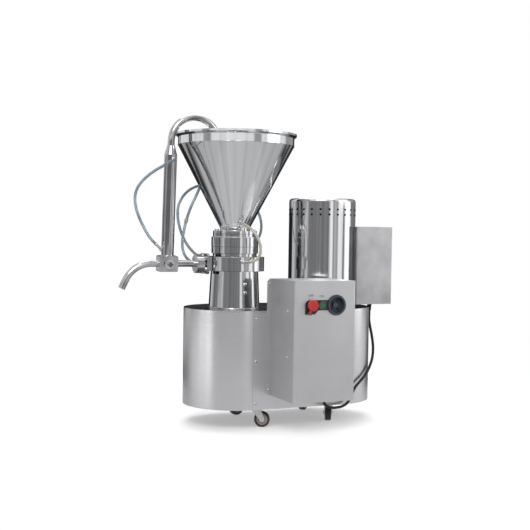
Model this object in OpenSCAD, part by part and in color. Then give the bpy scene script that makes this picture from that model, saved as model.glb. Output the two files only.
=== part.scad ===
// Colloid mill: an upright grinding head under a feed hopper, driven by V-belts from an upright
// motor, on a wheeled base. A three-way valve sends the product to the spout or back to the hopper.
// Millimetres. The origin is on the floor under the middle of the base and +Z is up.
// +X runs from the mill to the motor, and the control box is on the -Y side.

/* [Base] */
// Overall length of the base
base_length = 650; // [630:5:700]
// Width of the base, which is the diameter of its round ends
base_width = 330; // [320:5:360]
// Height of the skirt's lower edge above the floor
skirt_bottom = 65; // [60:1:66]
// Height of the skirt's upper edge above the floor
skirt_top = 370; // [350:5:400]
// Thickness of the skirt's sheet
skirt_sheet = 1.5; // [1:0.5:3]
// Thickness of the top plate
top_plate_t = 8; // [6:1:12]
// Thickness of the base plate
base_plate_t = 8; // [5:1:12]
// Side of the square frame posts
post_side = 30; // [20:5:40]
// Wall of the frame posts
post_wall = 2; // [1.5:0.5:4]

/* [Casters] */
// Height of a caster from the floor to its mounting face
caster_h = 70; // [68:1:80]
// Diameter of a wheel
wheel_d = 50; // [44:1:54]
// Width of a wheel
wheel_w = 20; // [16:1:24]
// Distance from the swivel axis back to the axle
caster_trail = 21; // [16:1:26]
// Half the distance between the swivel axes along the base
caster_x = 132; // [110:1:150]
// Half the distance between the swivel axes across the base
caster_y = 105; // [90:1:110]
// Diameter of the axle
axle_d = 8; // [6:1:10]

/* [Mill] */
// Height of the pedestal on the top plate
pedestal_h = 120; // [100:5:140]
// Radius of the pedestal at its foot
pedestal_foot_r = 84; // [82:1:90]
// Radius of the pedestal at its top
pedestal_top_r = 78; // [74:1:80]
// Wall of the pedestal
pedestal_wall = 7; // [5:1:10]
// Radius of the discharge ring
ring_r = 97; // [94:1:100]
// Height of the discharge ring
ring_h = 46; // [44:1:50]
// Height of the neck over the discharge ring
neck_h = 11; // [8:1:14]
// Radius of the neck
neck_r = 72; // [70:1:75]
// Height of the adjusting ring
adjust_h = 21; // [18:1:26]
// Radius of the adjusting ring
adjust_r = 76.5; // [74:0.5:80]
// Height of the stator housing under its flange
housing_h = 32; // [30:1:40]
// Radius of the stator housing
housing_r = 77; // [74:1:80]
// Radius of the two bolted flanges
flange_r = 72; // [70:1:76]
// Thickness of each bolted flange
flange_t = 10; // [8:1:12]

/* [Rotor and stator] */
// Radius of the rotor at its wide lower end
rotor_foot_r = 40; // [38:0.5:42]
// Radius of the rotor at its narrow upper end
rotor_top_r = 28; // [26:0.5:30]
// Radial gap between rotor and stator in the fine setting
grind_gap = 0.5; // [0.4:0.1:1]
// Radius of the stator
stator_r = 58; // [56:0.5:60]
// Number of fine slots on rotor and stator
fine_slots = 24; // [16:2:30]
// Width of a fine slot
fine_slot_w = 3; // [2:0.5:4]
// Number of coarse slots on rotor and stator
coarse_slots = 12; // [8:1:14]
// Width of a coarse slot
coarse_slot_w = 6; // [4:0.5:8]
// Slant of the slots
slot_slant = 18; // [8:1:24]

/* [Hopper] */
// Radius of the hopper's neck
hopper_neck_r = 49; // [46:1:50]
// Height of the hopper's neck over its flange
hopper_neck_h = 10; // [6:1:16]
// Height of the cone
cone_h = 267; // [240:1:280]
// Radius of the straight band over the cone
rim_r = 190; // [180:1:195]
// Height of the straight band
band_h = 25; // [15:1:30]
// Height of the rolled lip
lip_h = 13; // [10:1:16]
// How far the lip stands out
lip_out = 8; // [5:1:10]
// Wall of the hopper
hopper_wall = 2; // [1.5:0.5:3]

/* [Drive] */
// Radius of the spindle in its bearings
spindle_r = 17.5; // [15:0.5:20]
// Radius of the shafts in their pulleys
pulley_bore_r = 14; // [12:0.5:14]
// Outer radius of the spindle bearings
bearing_r = 36; // [34:1:40]
// Width of a spindle bearing
bearing_w = 17; // [14:1:20]
// Radius of the mill pulley
mill_pulley_r = 45; // [40:1:55]
// Radius of the motor pulley
motor_pulley_r = 60; // [50:1:70]
// Height of a pulley
pulley_h = 50; // [46:1:60]
// Height of the pulleys' upper faces above the floor
pulley_top = 260; // [230:1:270]
// Distance between the two belts
belt_pitch = 20; // [18:1:22]
// Width of a belt
belt_w = 11; // [9:0.5:11]

/* [Motor] */
// Radius of the motor cover
cover_r = 113; // [110:1:120]
// Height of the motor cover
cover_h = 363; // [340:1:380]
// Radius of the cover's upper edge
cover_fillet = 10; // [6:1:16]
// Sheet of the motor cover
cover_sheet = 1.5; // [1:0.5:3]
// Vent holes in a row
vent_count = 24; // [16:1:30]
// Radius of a vent hole
vent_r = 2.5; // [2:0.5:3]
// Distance from the cover's top down to the first row of vents
vent_drop = 37; // [30:1:45]
// Distance between the two rows of vents
vent_pitch = 17; // [12:1:24]
// Radius of the motor's frame
motor_r = 80; // [75:1:84]

/* [Terminal box] */
// Width of the terminal box
terminal_w = 138; // [120:1:150]
// Depth of the terminal box
terminal_d = 150; // [140:1:170]
// Height of the terminal box
terminal_h = 261; // [240:1:270]
// Height of its floor over the top plate
terminal_lift = 10; // [6:1:20]
// Distance from the motor axis to its front left edge
terminal_dx = 78; // [70:1:82]
// Distance of its front face from the motor axis
terminal_front = 105; // [100:1:110]
// Sheet of the terminal box
terminal_sheet = 1.5; // [1:0.5:3]

/* [Discharge] */
// Outer radius of the product pipes
pipe_r = 11; // [10:0.5:12]
// Inner radius of the product pipes
pipe_bore_r = 9; // [8:0.5:9.5]
// Side of the square outlet flange
outlet_side = 66; // [62:1:70]
// Thickness of the outlet flange
outlet_t = 8; // [6:1:10]
// Radius of the union nut
union_r = 31; // [29:1:33]
// Length of the union nut
union_len = 24; // [20:1:30]
// Distance from the mill axis to the valve's axis
valve_off = 232; // [220:1:240]
// Width of the valve block along the pipe
valve_w = 62; // [56:1:70]
// Depth of the valve block along the plug
valve_d = 38; // [36:1:46]
// Height of the valve block
valve_h = 50; // [46:1:56]
// Radius of the valve plug
plug_r = 14; // [13:0.5:15]
// Lean of the riser towards the control side
riser_lean = 4; // [0:0.5:8]
// Radius of the riser's water jacket
jacket_r = 20; // [18:0.5:22]
// Length of the straight part of the water jacket
jacket_len = 320; // [300:1:330]
// Length of the cone that closes the jacket
jacket_cone = 28; // [20:1:36]
// Height of the return bend's centre over the outlet
return_rise = 388; // [384:1:400]
// Radius of the return bend
return_bend = 78; // [70:1:84]
// Length of the return pipe's drop into the hopper
return_drop = 30; // [20:1:40]
// Straight length of the spout next to the valve
spout_lead = 22; // [15:1:30]
// Radius of the spout's bend
spout_bend = 90; // [80:1:100]
// Angle of the spout's bend
spout_turn = 65; // [50:1:80]
// Straight length at the spout's tip
spout_tip = 30; // [20:1:40]

/* [Control box] */
// Width of the control box
control_w = 208; // [200:1:230]
// Depth of the control box
control_d = 168; // [150:1:180]
// Height of the control box
control_h = 370; // [340:1:380]
// Height of the control box's floor
control_z = 110; // [100:1:120]
// Place of the control box's middle along the base
control_x = 4; // [-10:1:20]
// Sheet of the control box
control_sheet = 1.5; // [1:0.5:3]
// Radius of the folded upright edges of both boxes
fold_r = 4; // [2:0.5:6]
// Thickness of the control box's back plate
back_t = 2; // [1.5:0.5:4]
// How far the back plate stands out beside the box
back_lip = 15; // [12:1:20]

/* [Switches] */
// Drop of the switches' centre line from the box's top
switch_drop = 74; // [70:1:100]
// Thickness of the switch plate
switch_t = 2; // [1.5:0.5:4]
// Radius of the stop paddle
paddle_r = 17; // [15:0.5:17]
// Radius of the start button
start_r = 8.5; // [7:0.5:9]
// Travel of the start button
start_travel = 3; // [2:0.5:4]
// Radius of the socket's rim
socket_r = 30; // [28:0.5:31]
// Depth of the socket's recess
socket_depth = 19; // [14:1:24]

/* [Fasteners] */
// Radius of the shank of a hexagon bolt
bolt_r = 4; // [3:0.5:4]
// Width across the corners of a bolt head, halved
bolt_head_r = 7.5; // [6.5:0.5:8]
// Height of a bolt head
bolt_head_h = 5.5; // [4:0.5:7]
// Bolts in the hopper flange
flange_bolts = 6; // [4:1:8]
// Radius of a panel screw's head
screw_r = 4.5; // [3:0.5:5]
// Height of a panel screw's head
screw_h = 2.4; // [2:0.2:3]

/* [Hoses] */
// Outer diameter of the water hoses
hose_d = 9; // [8:0.5:10]
// Outer diameter of the power cable
cable_d = 9; // [7:0.5:9]
// Radius of a hose nipple
nipple_r = 4; // [3:0.5:4.5]

/* [Hidden] */
$fn = 64;

// Clearances: a fixed fit, a turning fit, and the air between pieces that pass each other
seat = 0.1;
running = 0.06;
air = 0.3;
// Overlap that lets a cutting shape pass the face that it cuts
cut = 1;

// Plan of the base
base_r = base_width / 2;
half_span = base_length / 2 - base_r;
mill_x = -half_span;
motor_x = half_span;
front_y = -base_r;
skirt_inner_r = base_r - skirt_sheet;
seam = 0.4;

// Heights of the mill's stack
deck_z = skirt_top + top_plate_t;
ring_z = deck_z + pedestal_h;
neck_z = ring_z + ring_h;
adjust_z = neck_z + neck_h;
housing_z = adjust_z + adjust_h;
flange_z = housing_z + housing_h;
hopper_z = flange_z + flange_t;
cone_z = hopper_z + flange_t + hopper_neck_h;
band_z = cone_z + cone_h;
lip_z = band_z + band_h;
outlet_z = ring_z + ring_h / 2;

// Inside the mill: the stator slides in a sleeve that stands in the discharge ring's neck
sleeve_r = stator_r + 8;
ring_floor = 8;
cavity_r = sleeve_r - 4;
deck_t = 20;
housing_drop = 90;
housing_wall = 16;
seal_low_r = 28;
seal_r = 24;
seal_rise = 10;
seal_land_r = 15;
rotor_z = neck_z + 4;
stator_top = flange_z - 4;
rotor_top = stator_top - 12;
rotor_hub = 10;
rotor_hub_r = 20;
rotor_seat_r = 12;
fine_deep = 2.5;
coarse_deep = 4.5;
rotor_slope = atan((rotor_foot_r - rotor_top_r) / (rotor_top - rotor_z));
throat_r = hopper_neck_r - hopper_wall;
feed_r = throat_r - 3;
nut_r = 19;
nut_h = 14;
vane_count = 6;
spanner_holes = 6;
spanner_r = 4;
flange_bolt_pcr = (hopper_neck_r + flange_r) / 2;

// Drive inside the base
pulley_z = pulley_top - pulley_h;
groove_deep = 12;
groove_top_w = 17;
groove_foot_w = 10;
belt_sink = 0.5;
belt_deep = 8;
motor_flange_r = cover_r - cover_sheet - 6;
motor_flange_t = 14;
motor_pilot_r = 58;
motor_body_h = 262;
cowl_h = 46;
fin_count = 20;
fin_t = 3;
fin_r = motor_r + 14;
fin_h = 200;

// Discharge group
valve_x = mill_x - valve_off;
outlet_face = ring_r + 3;
flange_x = mill_x - outlet_face;
pipe_seat = 8;
outlet_bolt = 23;
outlet_bolt_z = 17;
bolt_reach = 20;
ferrule_len = bolt_head_h + air;
ferrule_r = pipe_r + 4;
plug_boss_r = 15.5;
plug_boss_t = 6;
shank_side = 13;
shank_out = 15;
jacket_wall = 2;
block_chamfer = 3;
weld_rise = 0.4;

// Terminal box and control box
terminal_x = motor_x + terminal_dx;
terminal_z = deck_z + terminal_lift;
box_back_y = front_y - back_t;
box_front_y = box_back_y - control_d;
box_left = control_x - control_w / 2;
box_top = control_z + control_h;
switch_z = box_top - switch_drop;
// Places on the switch plate, from the middle of the box and the switches' centre line
stop_u = -47.5;
start_u = -14;
socket_u = 37.5;
plate_left = -68.5;
plate_low = -27;
plate_step = -15;
plate_high = 16;
plate_chamfer = 12;
plate_corner = 15;
plate_tail = 32;
socket_barrel_r = socket_r - 3;
socket_lip = 4;
socket_post_r = 8;
bezel_r = 13.5;
bezel_h = 3;
hinge_u = -58;
hinge_v = -24;
hinge_h = 5;
knuckle_r = 3;
knuckle_w = 8;
hinge_pin_r = 1.4;
ear_t = 2.5;
paddle_low = 5.5;
paddle_t = 8;
tail_w = 8;
tail_t = 4;
hinge_turn = -atan((stop_u - hinge_u) / -hinge_v);
hinge_reach = norm([stop_u - hinge_u, hinge_v]);

// Casters: names follow the order front left, front right, rear left, rear right
wheel_r = wheel_d / 2;
axle_r = axle_d / 2;
plate_l = 60;
plate_w = 45;
plate_t = 4;
race_r = 18;
race_h = 3.7;
pin_r = 5;
crown_t = 4;
crown_r = 20;
leg_t = 2.5;
leg_gap = 1;
boss_r = 8;
hub_r = wheel_r - 8;
crown_z = caster_h - plate_t - race_h - air - crown_t;
caster_turn = [-24, 66, 10, 40];
caster_shift = 9;
caster_spot = [for (y = [-caster_y, caster_y]) for (x = [-caster_x, caster_x]) [x + caster_shift, y]];

// Screws on the panels: distance from a seam and heights on the skirt
screw_inset = 10;
screw_rows = [skirt_bottom + 20, (skirt_bottom + skirt_top) / 2, skirt_top - 18];
back_screw_inset = 17;
pedestal_screw_rows = [51, 78];
pedestal_screw_turn = -87;

// Routes of the hoses, over the top plate, and of the cable, chosen by hand
hose_jacket_route = on_deck([
    [-392, -62, 470], [-394, -75, 469], [-401, -86, 467], [-411, -94, 463], [-424, -98, 456],
    [-440, -97, 446], [-461, -92, 433], [-484, -85, 415], [-504, -77, 393], [-515, -68, 371],
    [-517, -58, 346], [-511, -48, 320], [-499, -38, 292], [-481, -28, 261], [-462, -20, 233],
    [-443, -12, 213], [-430, -8, 202]]);
hose_back_route = on_deck([
    [-256, 70, 162], [-264, 76, 168], [-280, 84, 184], [-295, 91, 205], [-308, 98, 233],
    [-317, 105, 265], [-320, 112, 298], [-316, 120, 327], [-303, 128, 353], [-283, 136, 376],
    [-260, 144, 391], [-230, 152, 402], [-195, 158, 407], [-160, 160, 406], [-125, 157, 399],
    [-92, 151, 386], [-62, 142, 366], [-38, 130, 339], [-24, 118, 310], [-20, 107, 279],
    [-26, 95, 250], [-42, 82, 225], [-62, 69, 213], [-72, 62, 211]]);
hose_left_route = on_deck([
    [-266, 50, 144], [-276, 55, 144], [-290, 61, 148], [-303, 66, 159], [-312, 71, 177],
    [-315, 76, 200], [-312, 81, 227], [-305, 87, 256], [-297, 92, 282], [-287, 97, 308],
    [-275, 102, 334], [-262, 106, 358], [-252, 109, 377], [-245, 111, 393], [-242, 112, 404],
    [-242, 112, 414]]);
hose_front_route = on_deck([
    [-160, -112, 152], [-152, -112, 152], [-141, -112, 154], [-130, -113, 160], [-122, -114, 170],
    [-118, -115, 183], [-118, -115, 198], [-121, -114, 213], [-126, -111, 228], [-133, -107, 242],
    [-142, -101, 254], [-151, -93, 263], [-158, -84, 269], [-162, -75, 273], [-164, -69, 275]]);
gland_drop = 26;
socket_drop = 8;
power_cable_route = concat([for (drop = [0, 12, 32]) [328, -40, terminal_z - gland_drop - drop]], [
    [330, -45, 305], [332, -52, 280], [331, -62, 255], [325, -76, 230], [312, -94, 205], [296, -111, 187],
    [276, -130, 170], [251, -149, 153], [226, -164, 138], [204, -173, 122], [190, -178, 104],
    [180, -181, 86], [165, -185, 71], [145, -190, 64], [125, -196, 63], [106, -201, 64],
    [86, -204, 70], [74, -205, 80]],
    [for (drop = [8, 0]) [68, -205, control_z - socket_drop - drop]]);
elbow_back = 14;
gland_r = cable_d / 2 + 3;
nipple_depth = 5;
cord_sides = 8;

// Vectors and cords

function unit(v) = v / norm(v);

// A route that was chosen over the top plate
function on_deck(route) = [for (p = route) p + [0, 0, deck_z]];

// Direction of a route at one of its points
function heading(p, i) = unit(p[min(i + 1, len(p) - 1)] - p[max(i - 1, 0)]);

// Carries a side vector along a route without twisting it
function side_vectors(t, last, i) =
    i == len(t) ? [] :
    let (s = unit(last - (last * t[i]) * t[i]))
    concat([s], side_vectors(t, s, i + 1));

// Distance along a heading from a point to an upright cylinder around an axis
function reach(p, d, axis_x, axis_y, r) =
    let (x = p[0] - axis_x, y = p[1] - axis_y)
    let (a = d[0] * d[0] + d[1] * d[1], b = x * d[0] + y * d[1], c = x * x + y * y - r * r)
    (-b - sqrt(max(b * b - a * c, 0))) / a;

// Radius of the hopper's cone at a height
function cone_radius(z) = hopper_neck_r + (z - cone_z) * (rim_r - hopper_neck_r) / cone_h;

// Height of the hopper's cone at a distance from its axis
function cone_height(r) = cone_z + (r - hopper_neck_r) * cone_h / (rim_r - hopper_neck_r);

// Place of the jacket's leaning axis at a height
function jacket_y(z) = -(z - outlet_z) * tan(riser_lean);

module cord(route, d) {
    n = len(route);
    t = [for (i = [0 : n - 1]) heading(route, i)];
    s = side_vectors(t, [0.3, 0.5, 0.81], 0);
    points = [for (i = [0 : n - 1]) for (k = [0 : cord_sides - 1])
        let (a = 360 * k / cord_sides)
        route[i] + d / 2 * (cos(a) * s[i] + sin(a) * cross(t[i], s[i]))];
    near_cap = [[for (k = [0 : cord_sides - 1]) k]];
    far_cap = [[for (k = [cord_sides - 1 : -1 : 0]) (n - 1) * cord_sides + k]];
    walls = [for (i = [0 : n - 2]) for (k = [0 : cord_sides - 1]) for (half = [0, 1])
        let (a = i * cord_sides + k, b = i * cord_sides + (k + 1) % cord_sides)
        half == 0 ? [a, a + cord_sides, b + cord_sides] : [a, b + cord_sides, b]];
    polyhedron(points, concat(near_cap, far_cap, walls), convexity = 4);
}

// Frames

module at_mill() {
    translate([mill_x, 0, 0]) children();
}

module at_motor() {
    translate([motor_x, 0, 0]) children();
}

module at_valve() {
    translate([valve_x, 0, outlet_z]) rotate([riser_lean, 0, 0]) children();
}

// Along the discharge axis, with +Z pointing away from the mill
module along_outlet(x) {
    translate([x, 0, outlet_z]) rotate([0, -90, 0]) children();
}

// The control box's front, with X along the box, Y up and Z out of the box
module at_switches(out = 0) {
    translate([control_x, box_front_y - out, switch_z]) rotate([90, 0, 0]) children();
}

module at_hinge() {
    translate([hinge_u, hinge_v, 0]) rotate([0, 0, hinge_turn]) children();
}

module at_caster(i) {
    translate([caster_spot[i][0], caster_spot[i][1], 0]) rotate([0, 0, caster_turn[i]]) children();
}

module along(p, d) {
    translate(p) rotate([0, acos(d[2]), atan2(d[1], d[0])]) children();
}

// Small shapes

module stadium(r) {
    square([2 * half_span, 2 * r], center = true);
    for (side = [-1, 1])
        translate([side * half_span, 0]) circle(r = r);
}

module tube(r, bore, h) {
    difference() {
        cylinder(r = r, h = h);
        translate([0, 0, -cut]) cylinder(r = bore, h = h + 2 * cut);
    }
}

module chamfered(w, h, c) {
    polygon([[-w / 2 + c, -h / 2], [w / 2 - c, -h / 2], [w / 2, -h / 2 + c], [w / 2, h / 2 - c],
        [w / 2 - c, h / 2], [-w / 2 + c, h / 2], [-w / 2, h / 2 - c], [-w / 2, -h / 2 + c]]);
}

// Plan of a folded box: a rectangle from the origin with two rounded front corners
module folded(w, d, r) {
    translate([0, r]) square([w, d - r]);
    translate([r, 0]) square([w - 2 * r, d]);
    for (x = [r, w - r])
        translate([x, r]) circle(r = r);
}

module rounded_cap(r, h, f) {
    square([r, h - f]);
    square([r - f, h]);
    translate([r - f, h - f]) circle(r = f);
}

module screw_head() {
    rotate_extrude() {
        square([screw_r, screw_h / 2]);
        intersection() {
            translate([0, screw_h / 2]) square([screw_r, screw_h / 2]);
            translate([0, screw_h - dome_r()]) circle(r = dome_r());
        }
    }
}

// Radius of the sphere that crowns a screw head
function dome_r() = (screw_r * screw_r + screw_h * screw_h / 4) / screw_h;

module hex_bolt(grip) {
    cylinder(r = bolt_head_r, h = bolt_head_h, $fn = 6);
    translate([0, 0, -grip]) cylinder(r = bolt_r, h = grip);
}

// Base

module base_plate() color([0.45, 0.46, 0.48]) {
    translate([0, 0, caster_h]) linear_extrude(base_plate_t) stadium(skirt_inner_r - seat);
}

module frame_posts() color([0.45, 0.46, 0.48]) {
    for (sx = [-1, 1]) for (sy = [-1, 1])
        translate([sx * (half_span - 2 * post_side), sy * (base_r - post_side), caster_h + base_plate_t])
            linear_extrude(skirt_top - caster_h - base_plate_t)
                difference() {
                    square(post_side, center = true);
                    square(post_side - 2 * post_wall, center = true);
                }
}

module top_plate() color([0.72, 0.73, 0.75]) {
    translate([0, 0, skirt_top]) linear_extrude(top_plate_t) difference() {
        stadium(base_r);
        translate([mill_x, 0]) circle(r = bearing_r + housing_wall + seat);
        translate([motor_x, 0]) circle(r = motor_pilot_r + seat);
    }
}

module end_panel(side) color([0.7, 0.71, 0.73]) {
    translate([side * half_span, 0, skirt_bottom]) linear_extrude(skirt_top - skirt_bottom)
        intersection() {
            difference() {
                circle(r = base_r);
                circle(r = skirt_inner_r);
            }
            translate([side * (base_r + seam) / 2, 0]) square([base_r, 2 * base_r + cut], center = true);
        }
}

module long_panel(y) color([0.6, 0.61, 0.63]) {
    translate([-half_span + seam / 2, y, skirt_bottom])
        cube([2 * half_span - seam, skirt_sheet, skirt_top - skirt_bottom]);
}

module fasteners() color([0.8, 0.8, 0.82]) {
    for (side = [-1, 1]) for (face = [-1, 1]) for (z = screw_rows)
        translate([side * (half_span - screw_inset), face * base_r, z])
            rotate([face < 0 ? 90 : -90, 0, 0]) screw_head();
    for (side = [-1, 1]) for (z = [control_z + back_screw_inset, box_top - back_screw_inset])
        translate([control_x + side * (control_w + back_lip) / 2, box_back_y, z])
            rotate([90, 0, 0]) screw_head();
    at_mill() {
        for (z = pedestal_screw_rows)
            rotate([0, 0, pedestal_screw_turn])
                translate([pedestal_radius(z - screw_r), 0, deck_z + z]) rotate([0, 90, 0]) screw_head();
        for (i = [0 : flange_bolts - 1])
            rotate([0, 0, (i + 0.5) * 360 / flange_bolts])
                translate([flange_bolt_pcr, 0, hopper_z + flange_t]) hex_bolt(2 * flange_t);
    }
    for (sy = [-1, 1]) for (sz = [-1, 1])
        translate([flange_x - outlet_t, sy * outlet_bolt, outlet_z + sz * outlet_bolt_z])
            rotate([0, -90, 0]) hex_bolt(outlet_t + bolt_reach);
}

// Radius of the pedestal at a height over its foot
function pedestal_radius(z) = pedestal_foot_r + (pedestal_top_r - pedestal_foot_r) * z / pedestal_h;

// Casters

module caster_plates() color([0.25, 0.25, 0.26]) {
    for (i = [0 : 3])
        translate([caster_spot[i][0], caster_spot[i][1], caster_h - plate_t]) difference() {
            union() {
                translate([0, 0, plate_t / 2]) cube([plate_l, plate_w, plate_t], center = true);
                translate([0, 0, -race_h]) cylinder(r = race_r, h = race_h);
            }
            translate([0, 0, -race_h - cut])
                cylinder(r = pin_r + running, h = plate_t + race_h + 2 * cut);
        }
}

module fork(i) color([0.75, 0.74, 0.7]) {
    leg_y = wheel_w / 2 + leg_gap;
    shoulder = crown_r * 0.75;
    at_caster(i) {
        translate([0, 0, crown_z]) cylinder(r = crown_r, h = crown_t);
        translate([0, 0, crown_z + crown_t]) cylinder(r = pin_r, h = race_h + plate_t / 2);
        for (side = [-1, 1])
            translate([0, side * (leg_y + leg_t / 2) + leg_t / 2, 0]) rotate([90, 0, 0])
                linear_extrude(leg_t) {
                    polygon([[-shoulder, crown_z + crown_t], [shoulder, crown_z + crown_t],
                        [caster_trail + boss_r, wheel_r + boss_r / 2], [caster_trail + boss_r, wheel_r],
                        [caster_trail - boss_r, wheel_r], [-shoulder, crown_z]]);
                    translate([caster_trail, wheel_r]) circle(r = boss_r);
                }
        translate([caster_trail, leg_y + leg_t + axle_r / 2, wheel_r]) rotate([90, 0, 0])
            cylinder(r = axle_r, h = 2 * (leg_y + leg_t) + axle_r);
        for (side = [-1, 1])
            translate([caster_trail, side * (leg_y + leg_t), wheel_r]) rotate([-90 * side, 0, 0])
                cylinder(r = axle_r + 2, h = axle_r / 2);
    }
}

module at_wheel(i) {
    at_caster(i) translate([caster_trail, 0, wheel_r]) rotate([90, 0, 0]) children();
}

module hub(i) color([0.6, 0.6, 0.6]) {
    dish = 3;
    wall = 4;
    at_wheel(i) rotate_extrude() difference() {
        translate([axle_r + running, -wheel_w / 2]) square([hub_r - axle_r - running, wheel_w]);
        for (face = [-1, 1])
            translate([axle_r + wall, face * (wheel_w - dish) / 2 - dish / 2])
                square([hub_r - axle_r - 2 * wall, dish]);
    }
}

module tyre(i) color([0.35, 0.08, 0.09]) {
    crown = 4;
    at_wheel(i) rotate_extrude() {
        translate([hub_r + seat, -wheel_w / 2]) square([wheel_r - crown - hub_r - seat, wheel_w]);
        translate([hub_r + seat, -wheel_w / 2 + crown])
            square([wheel_r - hub_r - seat, wheel_w - 2 * crown]);
        for (face = [-1, 1])
            translate([wheel_r - crown, face * (wheel_w / 2 - crown)]) circle(r = crown);
    }
}

// Mill

module pedestal() color([0.78, 0.79, 0.81]) {
    under = pedestal_h - deck_t;
    at_mill() translate([0, 0, deck_z]) rotate_extrude()
        polygon([[pedestal_foot_r, 0], [pedestal_top_r, pedestal_h], [seal_low_r, pedestal_h],
            [seal_low_r, under], [bearing_r, under], [bearing_r, -housing_drop],
            [bearing_r + housing_wall, -housing_drop], [bearing_r + housing_wall, under],
            [pedestal_radius(under) - pedestal_wall, under], [pedestal_foot_r - pedestal_wall, 0]]);
}

module spindle_bearings() color([0.7, 0.7, 0.72]) {
    shield = 2;
    race = 5;
    at_mill() for (z = [deck_z - housing_drop, ring_z - deck_t - bearing_w])
        translate([0, 0, z]) rotate_extrude() difference() {
            translate([spindle_r + running, 0])
                square([bearing_r - seat - spindle_r - running, bearing_w]);
            for (face = [0, 1])
                translate([spindle_r + race, face * (bearing_w - shield)])
                    square([bearing_r - spindle_r - 2 * race, shield]);
        }
}

module shaft_seal() color([0.3, 0.3, 0.32]) {
    at_mill() translate([0, 0, ring_z]) rotate_extrude()
        polygon([[seal_land_r + running, -deck_t], [seal_low_r - seat, -deck_t], [seal_low_r - seat, 0],
            [seal_r, 0], [seal_r, ring_floor + seal_rise],
            [seal_land_r + running, ring_floor + seal_rise]]);
}

module spindle() color([0.75, 0.75, 0.77]) {
    at_mill() rotate_extrude()
        polygon([[0, pulley_z], [pulley_bore_r, pulley_z], [pulley_bore_r, pulley_top],
            [spindle_r, pulley_top], [spindle_r, ring_z - deck_t], [seal_land_r, ring_z - deck_t],
            [seal_land_r, rotor_z - rotor_hub], [rotor_seat_r, rotor_z - rotor_hub],
            [rotor_seat_r, rotor_top + nut_h - 2], [0, rotor_top + nut_h - 2]]);
}

module pulley(r) {
    rotate_extrude() difference() {
        translate([pulley_bore_r + seat, pulley_z]) square([r - pulley_bore_r - seat, pulley_h]);
        for (side = [-1, 1])
            translate([r, pulley_z + pulley_h / 2 + side * belt_pitch / 2])
                polygon([[cut, -groove_top_w / 2], [cut, groove_top_w / 2],
                    [-groove_deep, groove_foot_w / 2], [-groove_deep, -groove_foot_w / 2]]);
    }
}

module mill_pulley() color([0.4, 0.4, 0.42]) at_mill() pulley(mill_pulley_r);

module motor_pulley() color([0.4, 0.4, 0.42]) at_motor() pulley(motor_pulley_r);

// Outline of a belt at a depth under the pulleys' rims: an arc on each pulley and two straight runs
module belt_loop(sink) {
    steps = $fn / 2;
    a = mill_pulley_r - sink;
    b = motor_pulley_r - sink;
    wrap = acos((a - b) / (motor_x - mill_x));
    polygon(concat(
        [for (i = [0 : steps]) let (t = wrap + i * (360 - 2 * wrap) / steps)
            [mill_x + a * cos(t), a * sin(t)]],
        [for (i = [0 : steps]) let (t = -wrap + i * 2 * wrap / steps)
            [motor_x + b * cos(t), b * sin(t)]]));
}

module drive_belts() color([0.12, 0.12, 0.12]) {
    for (side = [-1, 1])
        translate([0, 0, pulley_z + (pulley_h + side * belt_pitch - belt_w) / 2])
            linear_extrude(belt_w) difference() {
                belt_loop(belt_sink);
                belt_loop(belt_sink + belt_deep);
            }
}

module discharge_ring() color([0.8, 0.81, 0.83]) {
    difference() {
        union() {
            at_mill() translate([0, 0, ring_z]) {
                cylinder(r = ring_r, h = ring_h);
                cylinder(r = neck_r, h = ring_h + neck_h);
            }
            translate([flange_x, -outlet_side / 2 + 2, ring_z])
                cube([outlet_face - neck_r, outlet_side - 4, ring_h]);
        }
        at_mill() {
            translate([0, 0, ring_z + ring_floor]) cylinder(r = cavity_r, h = ring_h + neck_h);
            translate([0, 0, neck_z]) cylinder(r = sleeve_r + seat, h = neck_h + cut);
            translate([0, 0, ring_z - cut]) cylinder(r = seal_r + seat, h = ring_floor + 2 * cut);
        }
        along_outlet(mill_x - cavity_r + 2 * pipe_seat) cylinder(r = pipe_bore_r, h = outlet_face);
        for (sy = [-1, 1]) for (sz = [-1, 1])
            along_outlet(flange_x + bolt_reach + cut) translate([sz * outlet_bolt_z, sy * outlet_bolt, 0])
                cylinder(r = bolt_r + seat, h = bolt_reach + 2 * cut);
        nipple_holes();
    }
}

module flange_bolt_holes() {
    for (i = [0 : flange_bolts - 1])
        rotate([0, 0, (i + 0.5) * 360 / flange_bolts])
            translate([flange_bolt_pcr, 0, flange_z - cut])
                cylinder(r = bolt_r + seat, h = 2 * flange_t + 2 * cut);
}

module stator_housing() color([0.8, 0.81, 0.83]) {
    difference() {
        at_mill() difference() {
            union() {
                translate([0, 0, neck_z]) cylinder(r = sleeve_r, h = hopper_z - neck_z);
                translate([0, 0, housing_z]) cylinder(r = housing_r, h = housing_h);
                translate([0, 0, flange_z]) cylinder(r = flange_r, h = flange_t);
            }
            translate([0, 0, neck_z - cut]) cylinder(r = stator_r + running, h = flange_z - neck_z + cut);
            translate([0, 0, neck_z]) cylinder(r = throat_r, h = hopper_z - neck_z + cut);
            flange_bolt_holes();
        }
        nipple_holes();
    }
}

module adjusting_ring() color([0.74, 0.75, 0.77]) {
    at_mill() translate([0, 0, adjust_z + air]) difference() {
        tube(adjust_r, sleeve_r + running, adjust_h - 2 * air);
        for (i = [0 : spanner_holes - 1])
            rotate([0, 0, i * 360 / spanner_holes]) translate([sleeve_r + 4, 0, adjust_h / 2 - air])
                rotate([0, 90, 0]) cylinder(r = spanner_r, h = adjust_r);
    }
}

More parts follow.
